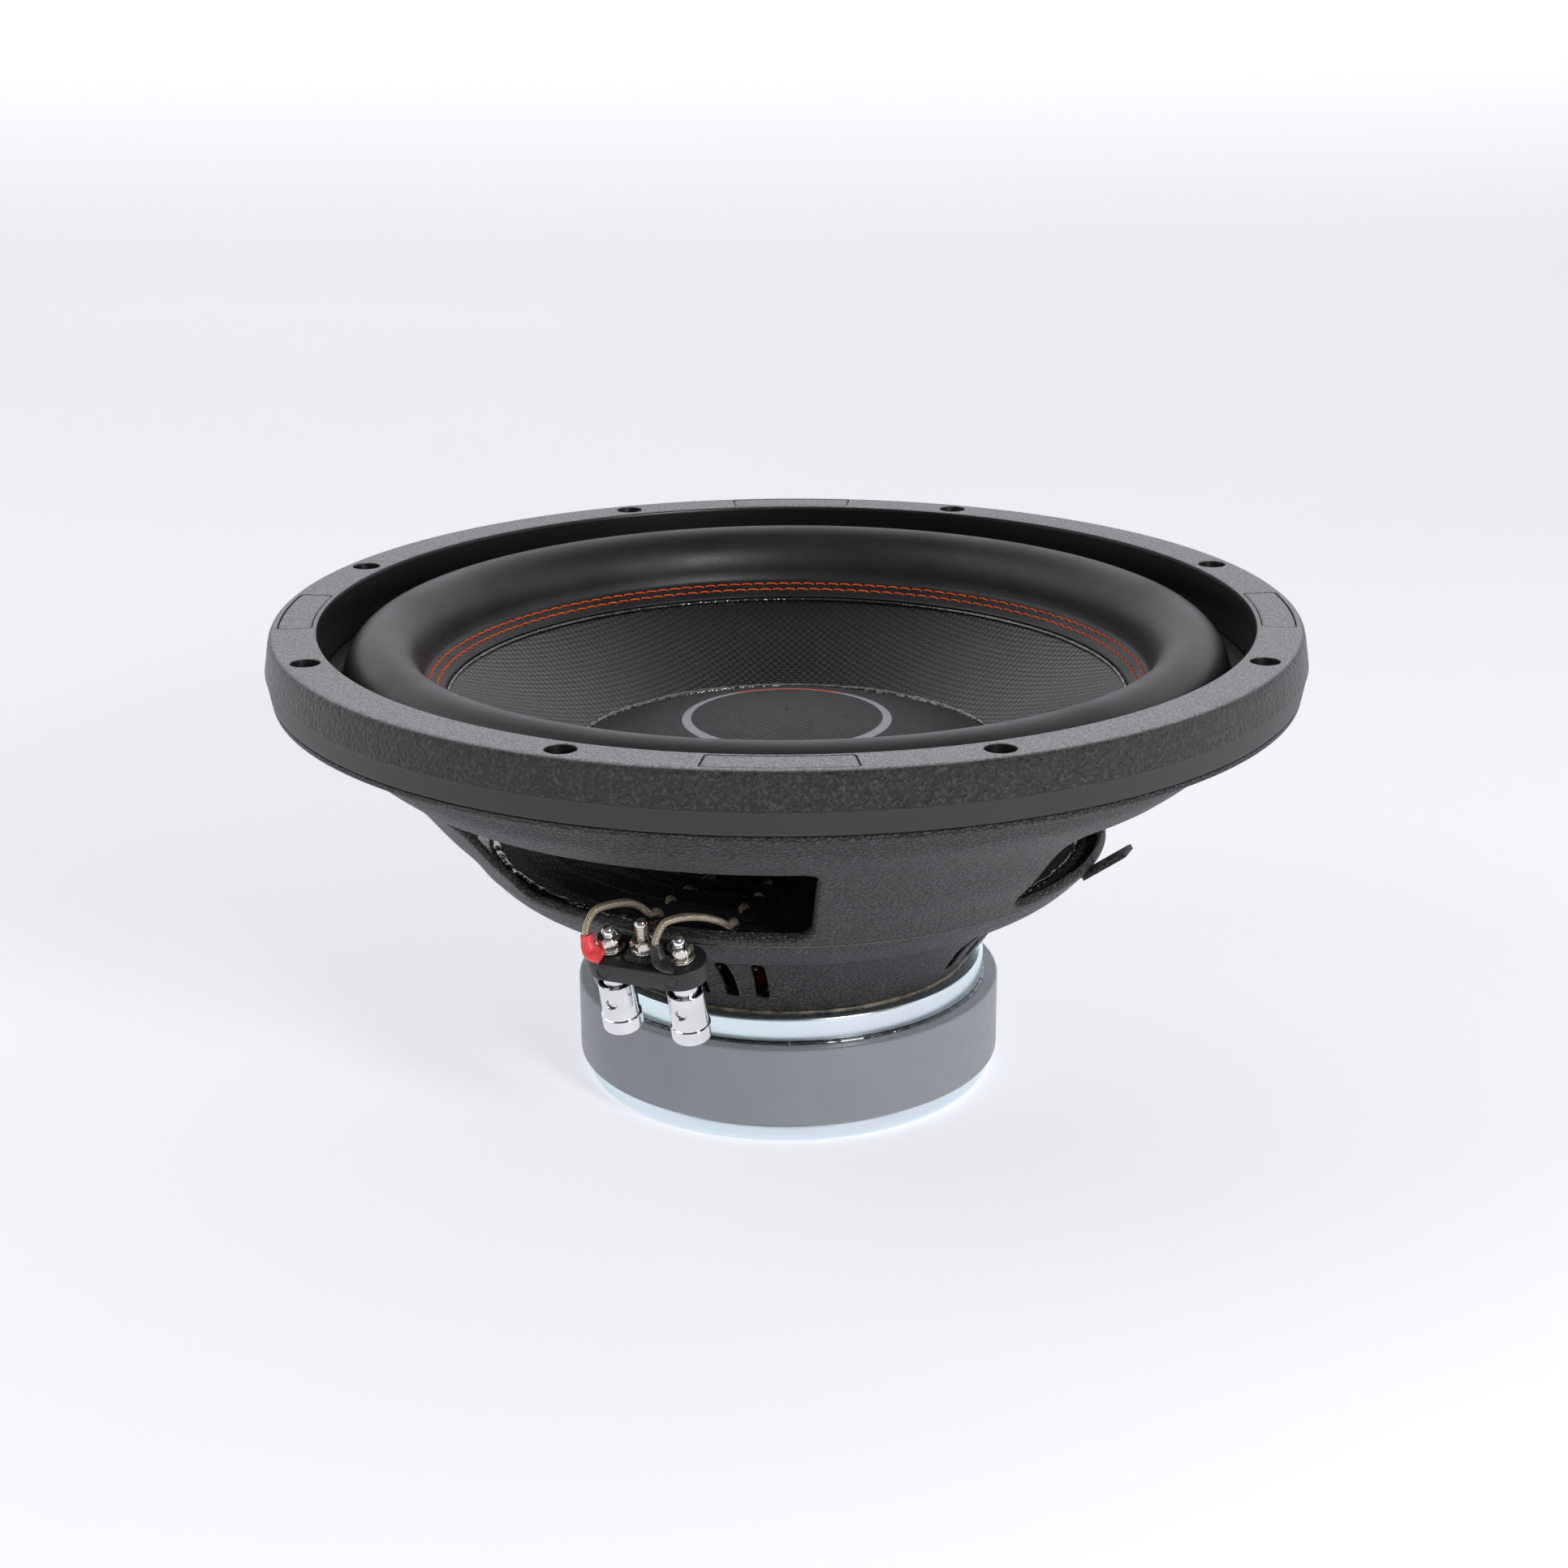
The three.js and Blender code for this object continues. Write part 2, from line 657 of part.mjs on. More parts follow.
function pushSleeve(x) {
  let body = toManifold(cylinder(sleeve_radius, sleeve_bottom, sleeve_top, 20));
  body = body.add(toManifold(cylinder(sleeve_cap_radius, sleeve_bottom, sleeve_bottom + sleeve_cap_height, 20)));
  const bore = cylinder(sleeve_bore_radius, sleeve_bottom + sleeve_floor, sleeve_top + 1, 16);
  body = body.subtract(toManifold(bore));
  body = body.subtract(wireHole(rod_hole - push_travel, sleeve_cap_radius + 1));
  return placed(toGeometry(body.translate([x, 0, 0])));
}

function pushSpring(x) {
  const wire = 0.3;
  const turns = 3;
  const radius = rod_radius - wire - 0.2;
  const points = [];
  for (let i = 0; i <= turns * 8; i += 1) {
    const a = (i / 8) * Math.PI * 2;
    const z = spring_bottom + wire + ((spring_top - spring_bottom - 2 * wire) * i) / (turns * 8);
    points.push(V(x + radius * Math.cos(a), radius * Math.sin(a), z));
  }
  return placed(tube(points, wire, turns * 8, 5));
}

function lug(x, side) {
  const bottom = block_top + seat_gap;
  let tag = toManifold(cylinder(lug_radius, bottom, bottom + lug_thickness, 16));
  const tail = new THREE.BoxGeometry(3, 4.4, lug_thickness);
  tail.translate(0, -lug_radius + 0.6, bottom + lug_thickness / 2);
  tail.rotateZ(rad(side * 28));
  tag = tag.add(toManifold(tail));
  tag = tag.subtract(toManifold(cylinder(stud_radius + seat_gap, bottom - 1, bottom + 2, 12)));
  return placed(toGeometry(tag.translate([x, 0, 0])));
}

function lugNut(x) {
  const bottom = block_top + 2 * seat_gap + lug_thickness;
  const nut = hexNut(nut_flats, stud_radius + seat_gap, bottom, bottom + nut_height);
  return placed(toGeometry(nut.translate([x, 0, 0])));
}

function blockNut() {
  const bottom = steel + seat_gap;
  return placed(toGeometry(hexNut(nut_flats, stud_radius + seat_gap, bottom, bottom + nut_height)));
}

function blockBolt() {
  const head_top = block_bottom - seat_gap;
  const shank = toManifold(cylinder(stud_radius, head_top - 1, steel + nut_height + 6.6, 12));
  return placed(toGeometry(shank.add(toManifold(cylinder(nut_flats / 2, head_top - 2.6, head_top, 16)))));
}

// Heat-shrink over the lug's crimp, lying on the block's front corner and turning up.
function boot(x) {
  const z = block_top + seat_gap + lug_thickness + 1.6;
  const points = [
    V(x - 1.2, -6.2, z - 0.1),
    V(x - 3.6, -5.8, z),
    V(x - 5.1, -4.4, z + 1),
    V(x - 5.4, -3.2, z + 3),
  ];
  return placed(tube(points, 1.6, 8, 8, 0.8));
}

// Braided lead from the boot, over the sill, along the spider to the former.
function lead(points) {
  return tube(points.map(([x, y, z]) => V(x, y, z)), lead_radius, 40, 6);
}

const positive_lead = [
  [-56, -98.3, 82.1],
  [-55.4, -97.8, 85.8],
  [-53.8, -96.4, 88.2],
  [-51, -94.6, 89],
  [-46.5, -92.2, 89],
  [-42.1, -88.4, 88],
  [-38.8, -84.4, 86.2],
  [-36.6, -79.4, 84.4],
  [-33.4, -69.6, 84],
  [-28.2, -58.6, 84],
  [-21.6, -45, 84],
  [-18, -36.8, 83.9],
];
const negative_lead = [
  [-35.7, -106.3, 82.1],
  [-35.2, -106, 85.2],
  [-33.6, -104.8, 87.6],
  [-31, -103.4, 88.3],
  [-26.5, -100.6, 88],
  [-18.8, -96.2, 86],
  [-15.2, -89.8, 84.6],
  [-13, -80, 84],
  [-9.4, -71, 84],
  [-6.8, -62, 84],
  [-4.8, -50, 84],
  [-3.8, -40.8, 83.9],
];

// ---- assembly ------------------------------------------------------------------------------
add('yoke', backPlateAndPole(), finish.zinc);
add('magnet', ring(magnet_bore_radius, magnet_radius, magnet_bottom, magnet_top, magnet_chamfer), finish.ferrite);
add('top_plate', topPlate(), finish.zinc);
add('basket', basket(), finish.powder_coat);
topScrewPlaces().forEach((place, i) => add(`top_plate_screw_${i + 1}`, topScrew(place), finish.nickel));

add('gasket', gasket(), finish.gasket_rubber);
['front', 'right', 'back', 'left'].forEach((side, i) => {
  add(`gasket_pad_${side}`, pad(i * 90, 0, gasket_top - pad_depth, gasket_top), finish.gasket_rubber);
});

add('surround', surround(), finish.surround_rubber);
add('spider', spider(), finish.spider_cloth);

add('cone', cone(), finish.cone_weave);
add('dust_cap', dustCap(), finish.cap_weave);
add('coil_former', former(), finish.kapton);
add('coil_winding', winding(), finish.copper);
add('stitch_outer', stitchRow(stitch_radii[0]), finish.thread);
add('stitch_inner', stitchRow(stitch_radii[1]), finish.thread);

add('terminal_block', terminalBlock(), finish.block_plastic);
add('block_bolt', blockBolt(), finish.nickel);
add('block_nut', blockNut(), finish.nickel);
for (const [pole, side] of [['positive', -1], ['negative', 1]]) {
  const x = (side * terminal_spacing) / 2;
  add(`post_${pole}`, post(x), finish.chrome);
  add(`push_sleeve_${pole}`, pushSleeve(x), finish.chrome);
  add(`push_spring_${pole}`, pushSpring(x), finish.spring_steel);
  add(`lug_${pole}`, lug(x, -1), finish.nickel);
  add(`lug_nut_${pole}`, lugNut(x), finish.nickel);
  add(`lug_boot_${pole}`, boot(x), pole === 'positive' ? finish.red_shrink : finish.black_shrink);
}
add('lead_positive', lead(positive_lead), finish.braid);
add('lead_negative', lead(negative_lead), finish.braid);

export default group;
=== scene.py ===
"""Twelve inch car subwoofer driver. Shapes are worked out in millimetres; piece() scales them to metres."""
import math
import bpy
import numpy as np
from mathutils import Matrix, Vector


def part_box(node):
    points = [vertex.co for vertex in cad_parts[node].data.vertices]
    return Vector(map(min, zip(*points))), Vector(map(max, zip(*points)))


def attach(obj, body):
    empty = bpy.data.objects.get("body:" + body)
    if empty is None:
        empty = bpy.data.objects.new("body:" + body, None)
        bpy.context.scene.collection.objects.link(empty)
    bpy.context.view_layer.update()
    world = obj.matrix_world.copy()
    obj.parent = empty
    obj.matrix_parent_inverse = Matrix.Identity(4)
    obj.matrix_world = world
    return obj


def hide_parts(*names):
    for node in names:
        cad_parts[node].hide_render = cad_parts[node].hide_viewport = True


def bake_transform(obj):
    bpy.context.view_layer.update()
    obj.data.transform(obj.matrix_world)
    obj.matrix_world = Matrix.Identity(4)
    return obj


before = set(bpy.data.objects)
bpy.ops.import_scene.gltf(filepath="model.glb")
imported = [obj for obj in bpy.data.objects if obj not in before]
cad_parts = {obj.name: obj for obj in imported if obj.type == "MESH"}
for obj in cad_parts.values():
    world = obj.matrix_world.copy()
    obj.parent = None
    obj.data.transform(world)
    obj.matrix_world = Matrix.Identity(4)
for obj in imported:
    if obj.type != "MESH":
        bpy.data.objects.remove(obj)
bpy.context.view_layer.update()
MM = 0.001
TURN = 2 * math.pi

# ---- camera ----
yaw, pitch, roll = -0.01384, 0.32488, -0.0058
eye = (0.01045, -0.8294, 0.3731)
forward = Vector((math.sin(yaw) * math.cos(pitch), math.cos(yaw) * math.cos(pitch), -math.sin(pitch)))
level = Vector((math.cos(yaw), -math.sin(yaw), 0))
upward = level.cross(forward)
right = level * math.cos(roll) + upward * math.sin(roll)
up = upward * math.cos(roll) - level * math.sin(roll)
camera_data = bpy.data.cameras.new("camera")
camera_data.sensor_width, camera_data.lens, camera_data.clip_start = 36, 63.49, 0.05
camera = bpy.data.objects.new("camera", camera_data)
bpy.context.scene.collection.objects.link(camera)
camera.matrix_world = Matrix([(right[k], up[k], -forward[k], eye[k]) for k in range(3)] + [(0, 0, 0, 1)])
bpy.context.scene.camera = camera


# ---- sizes read from the frame (mm) ----
def low(node):
    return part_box(node)[0][2] / MM


def top(node):
    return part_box(node)[1][2] / MM


def reach(node):
    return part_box(node)[1][0] / MM


gasket_top = top("gasket")
gasket_bottom = low("gasket")
foot = low("basket")
steel = 1.6
cone_edge = top("cone")
cone_radius = reach("cone")
cone_slope = 0.552
ledge_top = low("spider")


def cone_top(r):
    """Height of the cone's upper face at a radius."""
    return cone_edge - (cone_radius - r) * cone_slope


# ---- shader helpers ----
def add_node(tree, kind, inputs=(), **settings):
    """A shader node. Each input is a number or tuple to set, or an output to link."""
    made = tree.nodes.new("ShaderNode" + kind)
    for key, value in settings.items():
        setattr(made, key, value)
    for socket, value in dict(inputs).items():
        if isinstance(value, (int, float, tuple)):
            made.inputs[socket].default_value = value
        else:
            tree.links.new(value, made.inputs[socket])
    return made


class Shade:
    """A principled material and the nodes that feed it."""

    def __init__(self, name, color, roughness, metallic=0.0, coat=0.0, specular=0.5):
        self.material = bpy.data.materials.new(name)
        self.material.use_nodes = True
        self.tree = self.material.node_tree
        self.bsdf = self.tree.nodes["Principled BSDF"]
        values = {"Base Color": (*color, 1), "Roughness": roughness, "Metallic": metallic,
                  "Coat Weight": coat, "Coat Roughness": 0.12, "Specular IOR Level": specular}
        for socket, value in values.items():
            self.bsdf.inputs[socket].default_value = value
        self.coords = self.node("TexCoord").outputs["Object"]
        self.normal = None

    def node(self, kind, inputs=(), **settings):
        return add_node(self.tree, kind, inputs, **settings)

    def math(self, operation, *values, clamp=False):
        return self.node("Math", enumerate(values), operation=operation, use_clamp=clamp).outputs[0]

    def plus(self, a, b):
        return self.math("ADD", a, b)

    def minus(self, a, b):
        return self.math("SUBTRACT", a, b)

    def times(self, a, b):
        return self.math("MULTIPLY", a, b)

    def wave(self, source, factor):
        return self.math("SINE", self.times(source, factor))

    def place(self, stretch):
        """Object coordinates, stretched where asked."""
        if stretch is None:
            return self.coords
        return self.node("Mapping", {"Scale": stretch, "Vector": self.coords}).outputs[0]

    def noise(self, scale, detail=3.0, roughness=0.55, stretch=None):
        return self.node("TexNoise", {"Scale": scale, "Detail": detail, "Roughness": roughness,
                                      "Vector": self.place(stretch)}).outputs["Fac"]

    def cells(self, scale, feature="SMOOTH_F1", stretch=None):
        return self.node("TexVoronoi", {"Scale": scale, "Vector": self.place(stretch)},
                         feature=feature).outputs["Distance"]

    def ramp(self, source, start, end, a=0.0, b=1.0):
        """A value that runs from a to b while the source runs from start to end."""
        return self.node("MapRange", {"Value": source, "From Min": start, "From Max": end,
                                      "To Min": a, "To Max": b}).outputs["Result"]

    def mix(self, fac, a, b):
        a, b = ((*c, 1) if isinstance(c, tuple) else c for c in (a, b))
        return self.node("Mix", {0: fac, 6: a, 7: b}, data_type="RGBA").outputs[2]

    def blotches(self, scale, detail, a, b, start=0.3, end=0.7, roughness=0.55):
        """A colour that varies between a and b."""
        return self.mix(self.ramp(self.noise(scale, detail, roughness), start, end), a, b)

    def color(self, source):
        self.tree.links.new(source, self.bsdf.inputs["Base Color"])

    def rough(self, source):
        self.tree.links.new(source, self.bsdf.inputs["Roughness"])

    def uneven_gloss(self, scale, detail, a, b, roughness=0.55):
        self.rough(self.ramp(self.noise(scale, detail, roughness), 0.3, 0.7, a, b))

    def bump(self, height, distance):
        inputs = {"Distance": distance, "Strength": 1.0, "Height": height}
        if self.normal is not None:
            inputs["Normal"] = self.normal
        self.normal = self.node("Bump", inputs).outputs[0]
        self.tree.links.new(self.normal, self.bsdf.inputs["Normal"])

    def xyz(self):
        return self.node("SeparateXYZ", {0: self.coords}).outputs

    def radius(self):
        x, y, _ = self.xyz()
        return self.math("SQRT", self.plus(self.times(x, x), self.times(y, y)))


def powder_coat():
    """Wrinkle finish: fine ridges parted by cracks."""
    s = Shade("powder_coat", (0.022, 0.022, 0.024), 0.5, specular=0.6)
    cracks = s.ramp(s.cells(560, "DISTANCE_TO_EDGE", stretch=(1, 1, 1.9)), 0.0, 0.16)
    wrinkle = s.noise(900, 3, 0.6, stretch=(1, 1, 1.6))
    grain = s.plus(s.times(cracks, 0.5), wrinkle)
    s.bump(grain, 0.0012)
    s.rough(s.ramp(wrinkle, 0.35, 0.65, 0.36, 0.56))
    s.color(s.mix(s.ramp(grain, 0.62, 1.15), (0.006, 0.006, 0.007), (0.064, 0.062, 0.067)))
    return s.material


def gasket_rubber():
    """Leathery on the chamfer, plain below the step and inside the bore; the finely speckled top is painted
    light as a painted reflection, the bore painted dark as painted shade, the pebble peaks partly painted
    highlights.
    """
    s = Shade("gasket_rubber", (0.03, 0.03, 0.033), 0.55, specular=0.6)
    z = s.xyz()[2]
    r = s.radius()
    on_top = s.ramp(z, (gasket_top - 0.5) * MM, (gasket_top - 0.05) * MM)
    below = s.ramp(z, (gasket_top - 10.9) * MM, (gasket_top - 10.4) * MM, 1, 0)
    inside = s.ramp(r, 0.1566, 0.1570, 1, 0)
    smooth = s.math("MAXIMUM", on_top, s.math("MAXIMUM", below, inside))
    leathery = s.minus(1, smooth)
    pebbles = s.noise(880, 3, 0.65)
    leather = s.plus(s.times(s.cells(700), -0.5), pebbles)
    fine = s.noise(1500, 2, 0.6)
    grain = s.plus(s.times(leather, leathery), s.times(s.times(fine, 0.35), on_top))
    s.bump(grain, 0.0012)
    s.rough(s.plus(s.plus(0.32, s.times(on_top, 0.15)), s.times(below, 0.18)))
    # The top face is painted much lighter than the rubber, with a fine speckle: a painted reflection of the
    # bright room.
    speckle_and_painted_reflection = s.mix(s.ramp(fine, 0.38, 0.66), (0.17, 0.17, 0.174), (0.42, 0.415, 0.427))
    # The pebble peaks are painted lighter than the hollows between them: partly grain tone, partly painted
    # highlights on the peaks.
    peaks_and_painted_highlights = s.times(s.ramp(pebbles, 0.5, 0.66), leathery)
    side = s.mix(peaks_and_painted_highlights, (0.0015, 0.0015, 0.0017), (0.05, 0.049, 0.05))
    side = s.mix(below, side, (0.016, 0.0155, 0.017))
    # The bore wall is painted darker than the rest of the rubber: painted shade inside the ring.
    painted_bore_shade = s.times(s.minus(1, on_top), inside)
    s.color(s.mix(painted_bore_shade, s.mix(on_top, side, speckle_and_painted_reflection), (0.005, 0.005, 0.006)))
    return s.material


def plain(name, color, roughness, tones=None, gloss=None, relief=None, ripple=None, **more):
    """Blotches of two tones, uneven gloss, and relief given as (scale, detail, distance).

    ripple is the (scale, weight) of a second pattern in the relief.
    """
    s = Shade(name, color, roughness, **more)
    if tones:
        s.color(s.blotches(*tones))
    if gloss:
        s.uneven_gloss(*gloss)
    if relief:
        scale, detail, distance = relief
        height = s.noise(scale, detail)
        if ripple:
            height = s.plus(height, s.times(s.noise(ripple[0], 2), ripple[1]))
        s.bump(height, distance)
    looks[name] = s.material


def shrink(name, a, b):
    plain(name, a, 0.38, (350, 2, a, b, 0.35, 0.65), relief=(420, 2, 0.00035), ripple=(1800, 0.3))


def metal(name, color, rough_low, rough_high, grain):
    dark = tuple(c * 0.86 for c in color)
    plain(name, color, rough_low, (grain / 4, 2, dark, color, 0.35), (grain, 3, rough_low, rough_high),
          (grain * 2, 2, 0.00001), metallic=1.0)


def weave(s, pitch):
    """Height of a plain weave with its threads along X and Y."""
    x, y, _ = s.xyz()
    k = TURN / pitch
    over = s.math("GREATER_THAN", s.times(s.wave(x, k / 2), s.wave(y, k / 2)), 0)
    return s.plus(s.times(s.math("ABSOLUTE", s.wave(x, k)), over),
                  s.times(s.math("ABSOLUTE", s.wave(y, k)), s.minus(1, over)))


def cone_weave():
    s = Shade("cone_weave", (0.004, 0.004, 0.005), 0.27, specular=0.9)
    s.bump(weave(s, 0.0014), 0.00006)
    s.uneven_gloss(160, 3, 0.25, 0.29)
    return s.material


def cap_weave():
    """Woven cloth with a printed grey ring, part of it orange."""
    s = Shade("cap_weave", (0.014, 0.014, 0.016), 0.5, specular=0.4)
    s.bump(weave(s, 0.0014), 0.0001)
    ring_radius, half_width = 0.0315, 0.0016
    off = s.math("ABSOLUTE", s.math("DIVIDE", s.minus(s.radius(), ring_radius), half_width))
    ring = s.math("MINIMUM", s.times(s.math("SUBTRACT", 1, off, clamp=True), 4), 1)
    x, y, _ = s.xyz()
    arc = s.times(s.math("GREATER_THAN", y, 0.027), s.math("GREATER_THAN", x, -0.018))
    cloth = s.blotches(300, 2, (0.012, 0.012, 0.014), (0.024, 0.024, 0.027), 0.35)
    s.color(s.mix(ring, cloth, s.mix(arc, (0.42, 0.43, 0.45), (0.75, 0.13, 0.04))))
    return s.material


def spider_cloth():
    s = Shade("spider_cloth", (0.006, 0.0065, 0.008), 0.6, specular=0.45)
    s.bump(weave(s, 0.0016), 0.0003)
    glint = s.ramp(s.noise(2400, 2), 0.62, 0.68)
    s.rough(s.minus(0.62, s.times(glint, 0.35)))
    return s.material


def copper():
    s = Shade("copper", (0.85, 0.26, 0.1), 0.3, metallic=0.9)
    wire = 0.0009
    s.bump(s.math("ABSOLUTE", s.wave(s.xyz()[2], math.pi / wire)), 0.0003)
    s.color(s.blotches(200, 2, (0.75, 0.2, 0.07), (0.95, 0.34, 0.14)))
    return s.material


def braid():
    """Two sets of strands wound in opposite directions; u runs along the lead, v round it."""
    s = Shade("braid", (0.7, 0.6, 0.46), 0.3, metallic=0.85)
    u, v, _ = s.node("SeparateXYZ", {0: s.node("TexCoord").outputs["UV"]}).outputs
    strands = []
    for sign in (1, -1):
        twist = s.plus(s.times(v, TURN * 3 * sign), s.times(u, TURN * 0.75))
        strands.append(s.math("ABSOLUTE", s.math("SINE", twist)))
    height = s.math("MAXIMUM", *strands)
    s.bump(height, 0.0004)
    s.color(s.mix(s.ramp(height, 0.5, 0.95), (0.16, 0.12, 0.07), (0.82, 0.70, 0.52)))
    return s.material


looks = {make.__name__: make()
         for make in (powder_coat, gasket_rubber, cone_weave, cap_weave, spider_cloth, copper, braid)}
plain("surround_rubber", (0.016, 0.016, 0.017), 0.42,
      (45, 3, (0.014, 0.014, 0.015), (0.024, 0.023, 0.025), 0.35), (28, 4, 0.38, 0.5, 0.6),
      (1700, 2, 0.00006), (220, 0.8), specular=0.48)
plain("zinc", (0.62, 0.7, 0.72), 0.28, (9, 1, (0.74, 0.92, 0.93), (0.78, 0.86, 0.92), 0.35, 0.65),
      (120, 4, 0.2, 0.27), metallic=1.0)
plain("ferrite", (0.27, 0.29, 0.31), 0.42,
      (70, 5, (0.255, 0.275, 0.295), (0.28, 0.298, 0.32), 0.3, 0.75, 0.6), (400, 3, 0.36, 0.5),
      (2200, 3, 0.00005), specular=0.35)
plain("thread", (0.8, 0.09, 0.02), 0.7, (700, 2, (0.92, 0.085, 0.012), (1.0, 0.19, 0.035)),
      relief=(4200, 2, 0.0001), specular=0.2)
plain("resin", (0.006, 0.006, 0.007), 0.08, gloss=(300, 2, 0.08, 0.25), relief=(420, 2, 0.0008),
      coat=1.0, specular=0.9)
plain("glue_brown", (0.16, 0.12, 0.07), 0.35,
      (220, 3, (0.05, 0.04, 0.03), (0.24, 0.19, 0.12), 0.35, 0.65), relief=(900, 3, 0.0003))
plain("kapton", (0.16, 0.07, 0.02), 0.35, (90, 3, (0.12, 0.05, 0.015), (0.2, 0.09, 0.03)),
      relief=(600, 2, 0.00005), coat=0.3)
plain("block_plastic", (0.018, 0.018, 0.02), 0.42, gloss=(260, 3, 0.36, 0.5), relief=(2600, 2, 0.00004))
shrink("red_shrink", (0.92, 0.065, 0.075), (1.0, 0.10, 0.11))
shrink("black_shrink", (0.012, 0.012, 0.013), (0.03, 0.03, 0.032))
metal("chrome", (0.92, 0.92, 0.94), 0.05, 0.1, 300)
metal("nickel", (0.78, 0.74, 0.67), 0.14, 0.24, 500)
metal("spring_steel", (0.5, 0.5, 0.52), 0.25, 0.35, 500)


# ---- mesh helpers ----
def piece(name, shape, look, body="frame", angle=35, node=None, slot=None):
    vertices, faces = shape
    mesh = bpy.data.meshes.new(name)
    mesh.from_pydata((np.asarray(vertices, float) * MM).tolist(), [], [list(map(int, f)) for f in faces])
    mesh.update()
    mesh.validate()
    mesh.shade_smooth()
    mesh.set_sharp_from_angle(angle=math.radians(angle))
    obj = bpy.data.objects.new(name, mesh)
    bpy.context.scene.collection.objects.link(obj)
    mesh.materials.append(looks[look])
    if body:
        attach(obj, body)
    if node:
        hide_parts(node)
    return obj


def full_circle(count):
    return np.linspace(0, TURN, count, endpoint=False)


def arc_points(x, y, radius, start=0, end=TURN, count=33):
    return [(x + radius * math.cos(a), y + radius * math.sin(a)) for a in np.linspace(start, end, count)]


def unit_tangents(points):
    tangent = np.gradient(points, axis=0)
    return tangent / np.linalg.norm(tangent, axis=1)[:, None]


def unit(vector):
    return vector / np.linalg.norm(vector)


def curve(points, per_span=8):
    """Points joined by a smooth Catmull-Rom curve."""
    p = [np.array(q, float) for q in points]
    p = [2 * p[0] - p[1], *p, 2 * p[-1] - p[-2]]
    out = []
    for a, b, c, d in zip(p, p[1:], p[2:], p[3:]):
        for t in np.linspace(0, 1, per_span, endpoint=False):
            bend, twist = 2 * a - 5 * b + 4 * c - d, 3 * b - a - 3 * c + d
            out.append(0.5 * (2 * b + (c - a) * t + bend * t**2 + twist * t**3))
    return [*out, p[-2]]


def rounded(points, radii, steps=5):
    """A closed outline with its corners rounded by the given radii."""
    out = []
    for i, (point, radius) in enumerate(zip(points, radii)):
        point = np.array(point, float)
        if radius <= 0:
            out.append(point)
            continue
        before = np.array(points[i - 1], float) - point
        after = np.array(points[(i + 1) % len(points)], float) - point
        a, b = unit(before), unit(after)
        half = math.acos(max(-1, min(1, float(a @ b)))) / 2
        cut = min(radius / math.tan(half), 0.49 * np.linalg.norm(before), 0.49 * np.linalg.norm(after))
        for t in np.linspace(0, 1, steps + 1):
            out.append(point + a * cut * (1 - t) ** 2 + b * cut * t**2)
    return out


def slab(inner, outer, bottom, height, radii, steps=5):
    """The section of a flat ring, from its lower inner corner anticlockwise."""
    return rounded([(inner, bottom), (outer, bottom), (outer, height), (inner, height)], radii, steps)


def quads(rows, sides, close_rows=False, close_sides=True, reverse=False):
    """Faces between neighbouring points of a grid stored row by row."""
    i, j = np.meshgrid(np.arange(rows if close_rows else rows - 1),
                       np.arange(sides if close_sides else sides - 1), indexing="ij")
    i, j = i.ravel(), j.ravel()
    k, l = (i + 1) % rows, (j + 1) % sides
    corners = [i * sides + j, i * sides + l, k * sides + l, k * sides + j]
    if reverse:
        corners[1], corners[3] = corners[3], corners[1]
    return np.stack(corners, -1).tolist()


def revolve(profile, count, closed=True):
    """A profile of (r, z) turned about Z; it runs anticlockwise seen from -Y."""
    profile = np.array(profile, float)
    a = full_circle(count)
    x = np.outer(np.sin(a), profile[:, 0])
    y = -np.outer(np.cos(a), profile[:, 0])
    z = np.tile(profile[:, 1], (count, 1))
    vertices = np.stack([x, y, z], -1).reshape(-1, 3)
    return vertices, quads(count, len(profile), close_rows=True, close_sides=closed, reverse=True)


def turned(name, profile, look, count=256, closed=True, **more):
    return piece(name, revolve(profile, count, closed), look, **more)


def tube(points, radius, sides=10, caps=True):
    """A round tube along points; radius is one number or one for each point."""
    p = np.array(points, float)
    n = len(p)
    radius = np.broadcast_to(np.array(radius, float), (n,))
    tangent = unit_tangents(p)
    normal = unit(np.cross(tangent[0], (0.3, 0.2, 0.93)))
    a = full_circle(sides)
    rows = []
    for i in range(n):
        normal = unit(normal - tangent[i] * (normal @ tangent[i]))
        side = np.cross(tangent[i], normal)
        rows.append(p[i] + radius[i] * (np.outer(np.cos(a), normal) + np.outer(np.sin(a), side)))
    faces = quads(n, sides)
    if caps:
        faces.append(list(range(sides))[::-1])
        faces.append([(n - 1) * sides + k for k in range(sides)])
    return np.concatenate(rows), faces


def join(*shapes):
    """Several shapes as one."""
    vertices, faces, start = [], [], 0
    for v, f in shapes:
        vertices.append(np.asarray(v, float))
        faces += [[k + start for k in face] for face in f]
        start += len(v)
    return np.concatenate(vertices), faces


def solidify(obj, thickness):
    """Give an open skin its thickness, inwards."""
    modifier = obj.modifiers.new("thickness", "SOLIDIFY")
    modifier.thickness = thickness * MM
    modifier.offset = -1
    graph = bpy.context.evaluated_depsgraph_get()
    mesh = bpy.data.meshes.new_from_object(obj.evaluated_get(graph))
    obj.modifiers.clear()
    old, obj.data = obj.data, mesh
    bpy.data.meshes.remove(old)


# ---- a turned skin with shaped openings ----
def round_corner(x, y, corner):
    """Signed distance to a corner rounded off, from the signed distances to its two sides."""
    qx, qy = x + corner, y + corner
    outside = np.hypot(np.maximum(qx, 0), np.maximum(qy, 0))
    return outside + np.minimum(np.maximum(qx, qy), 0) - corner


def round_rect(x, y, half_x, half_y, corner):
    return round_corner(np.abs(x) - half_x, np.abs(y) - half_y, corner)


def half_turn_range(degrees):
    """An angle brought between -180 and 180."""
    return (degrees + 180) % 360 - 180


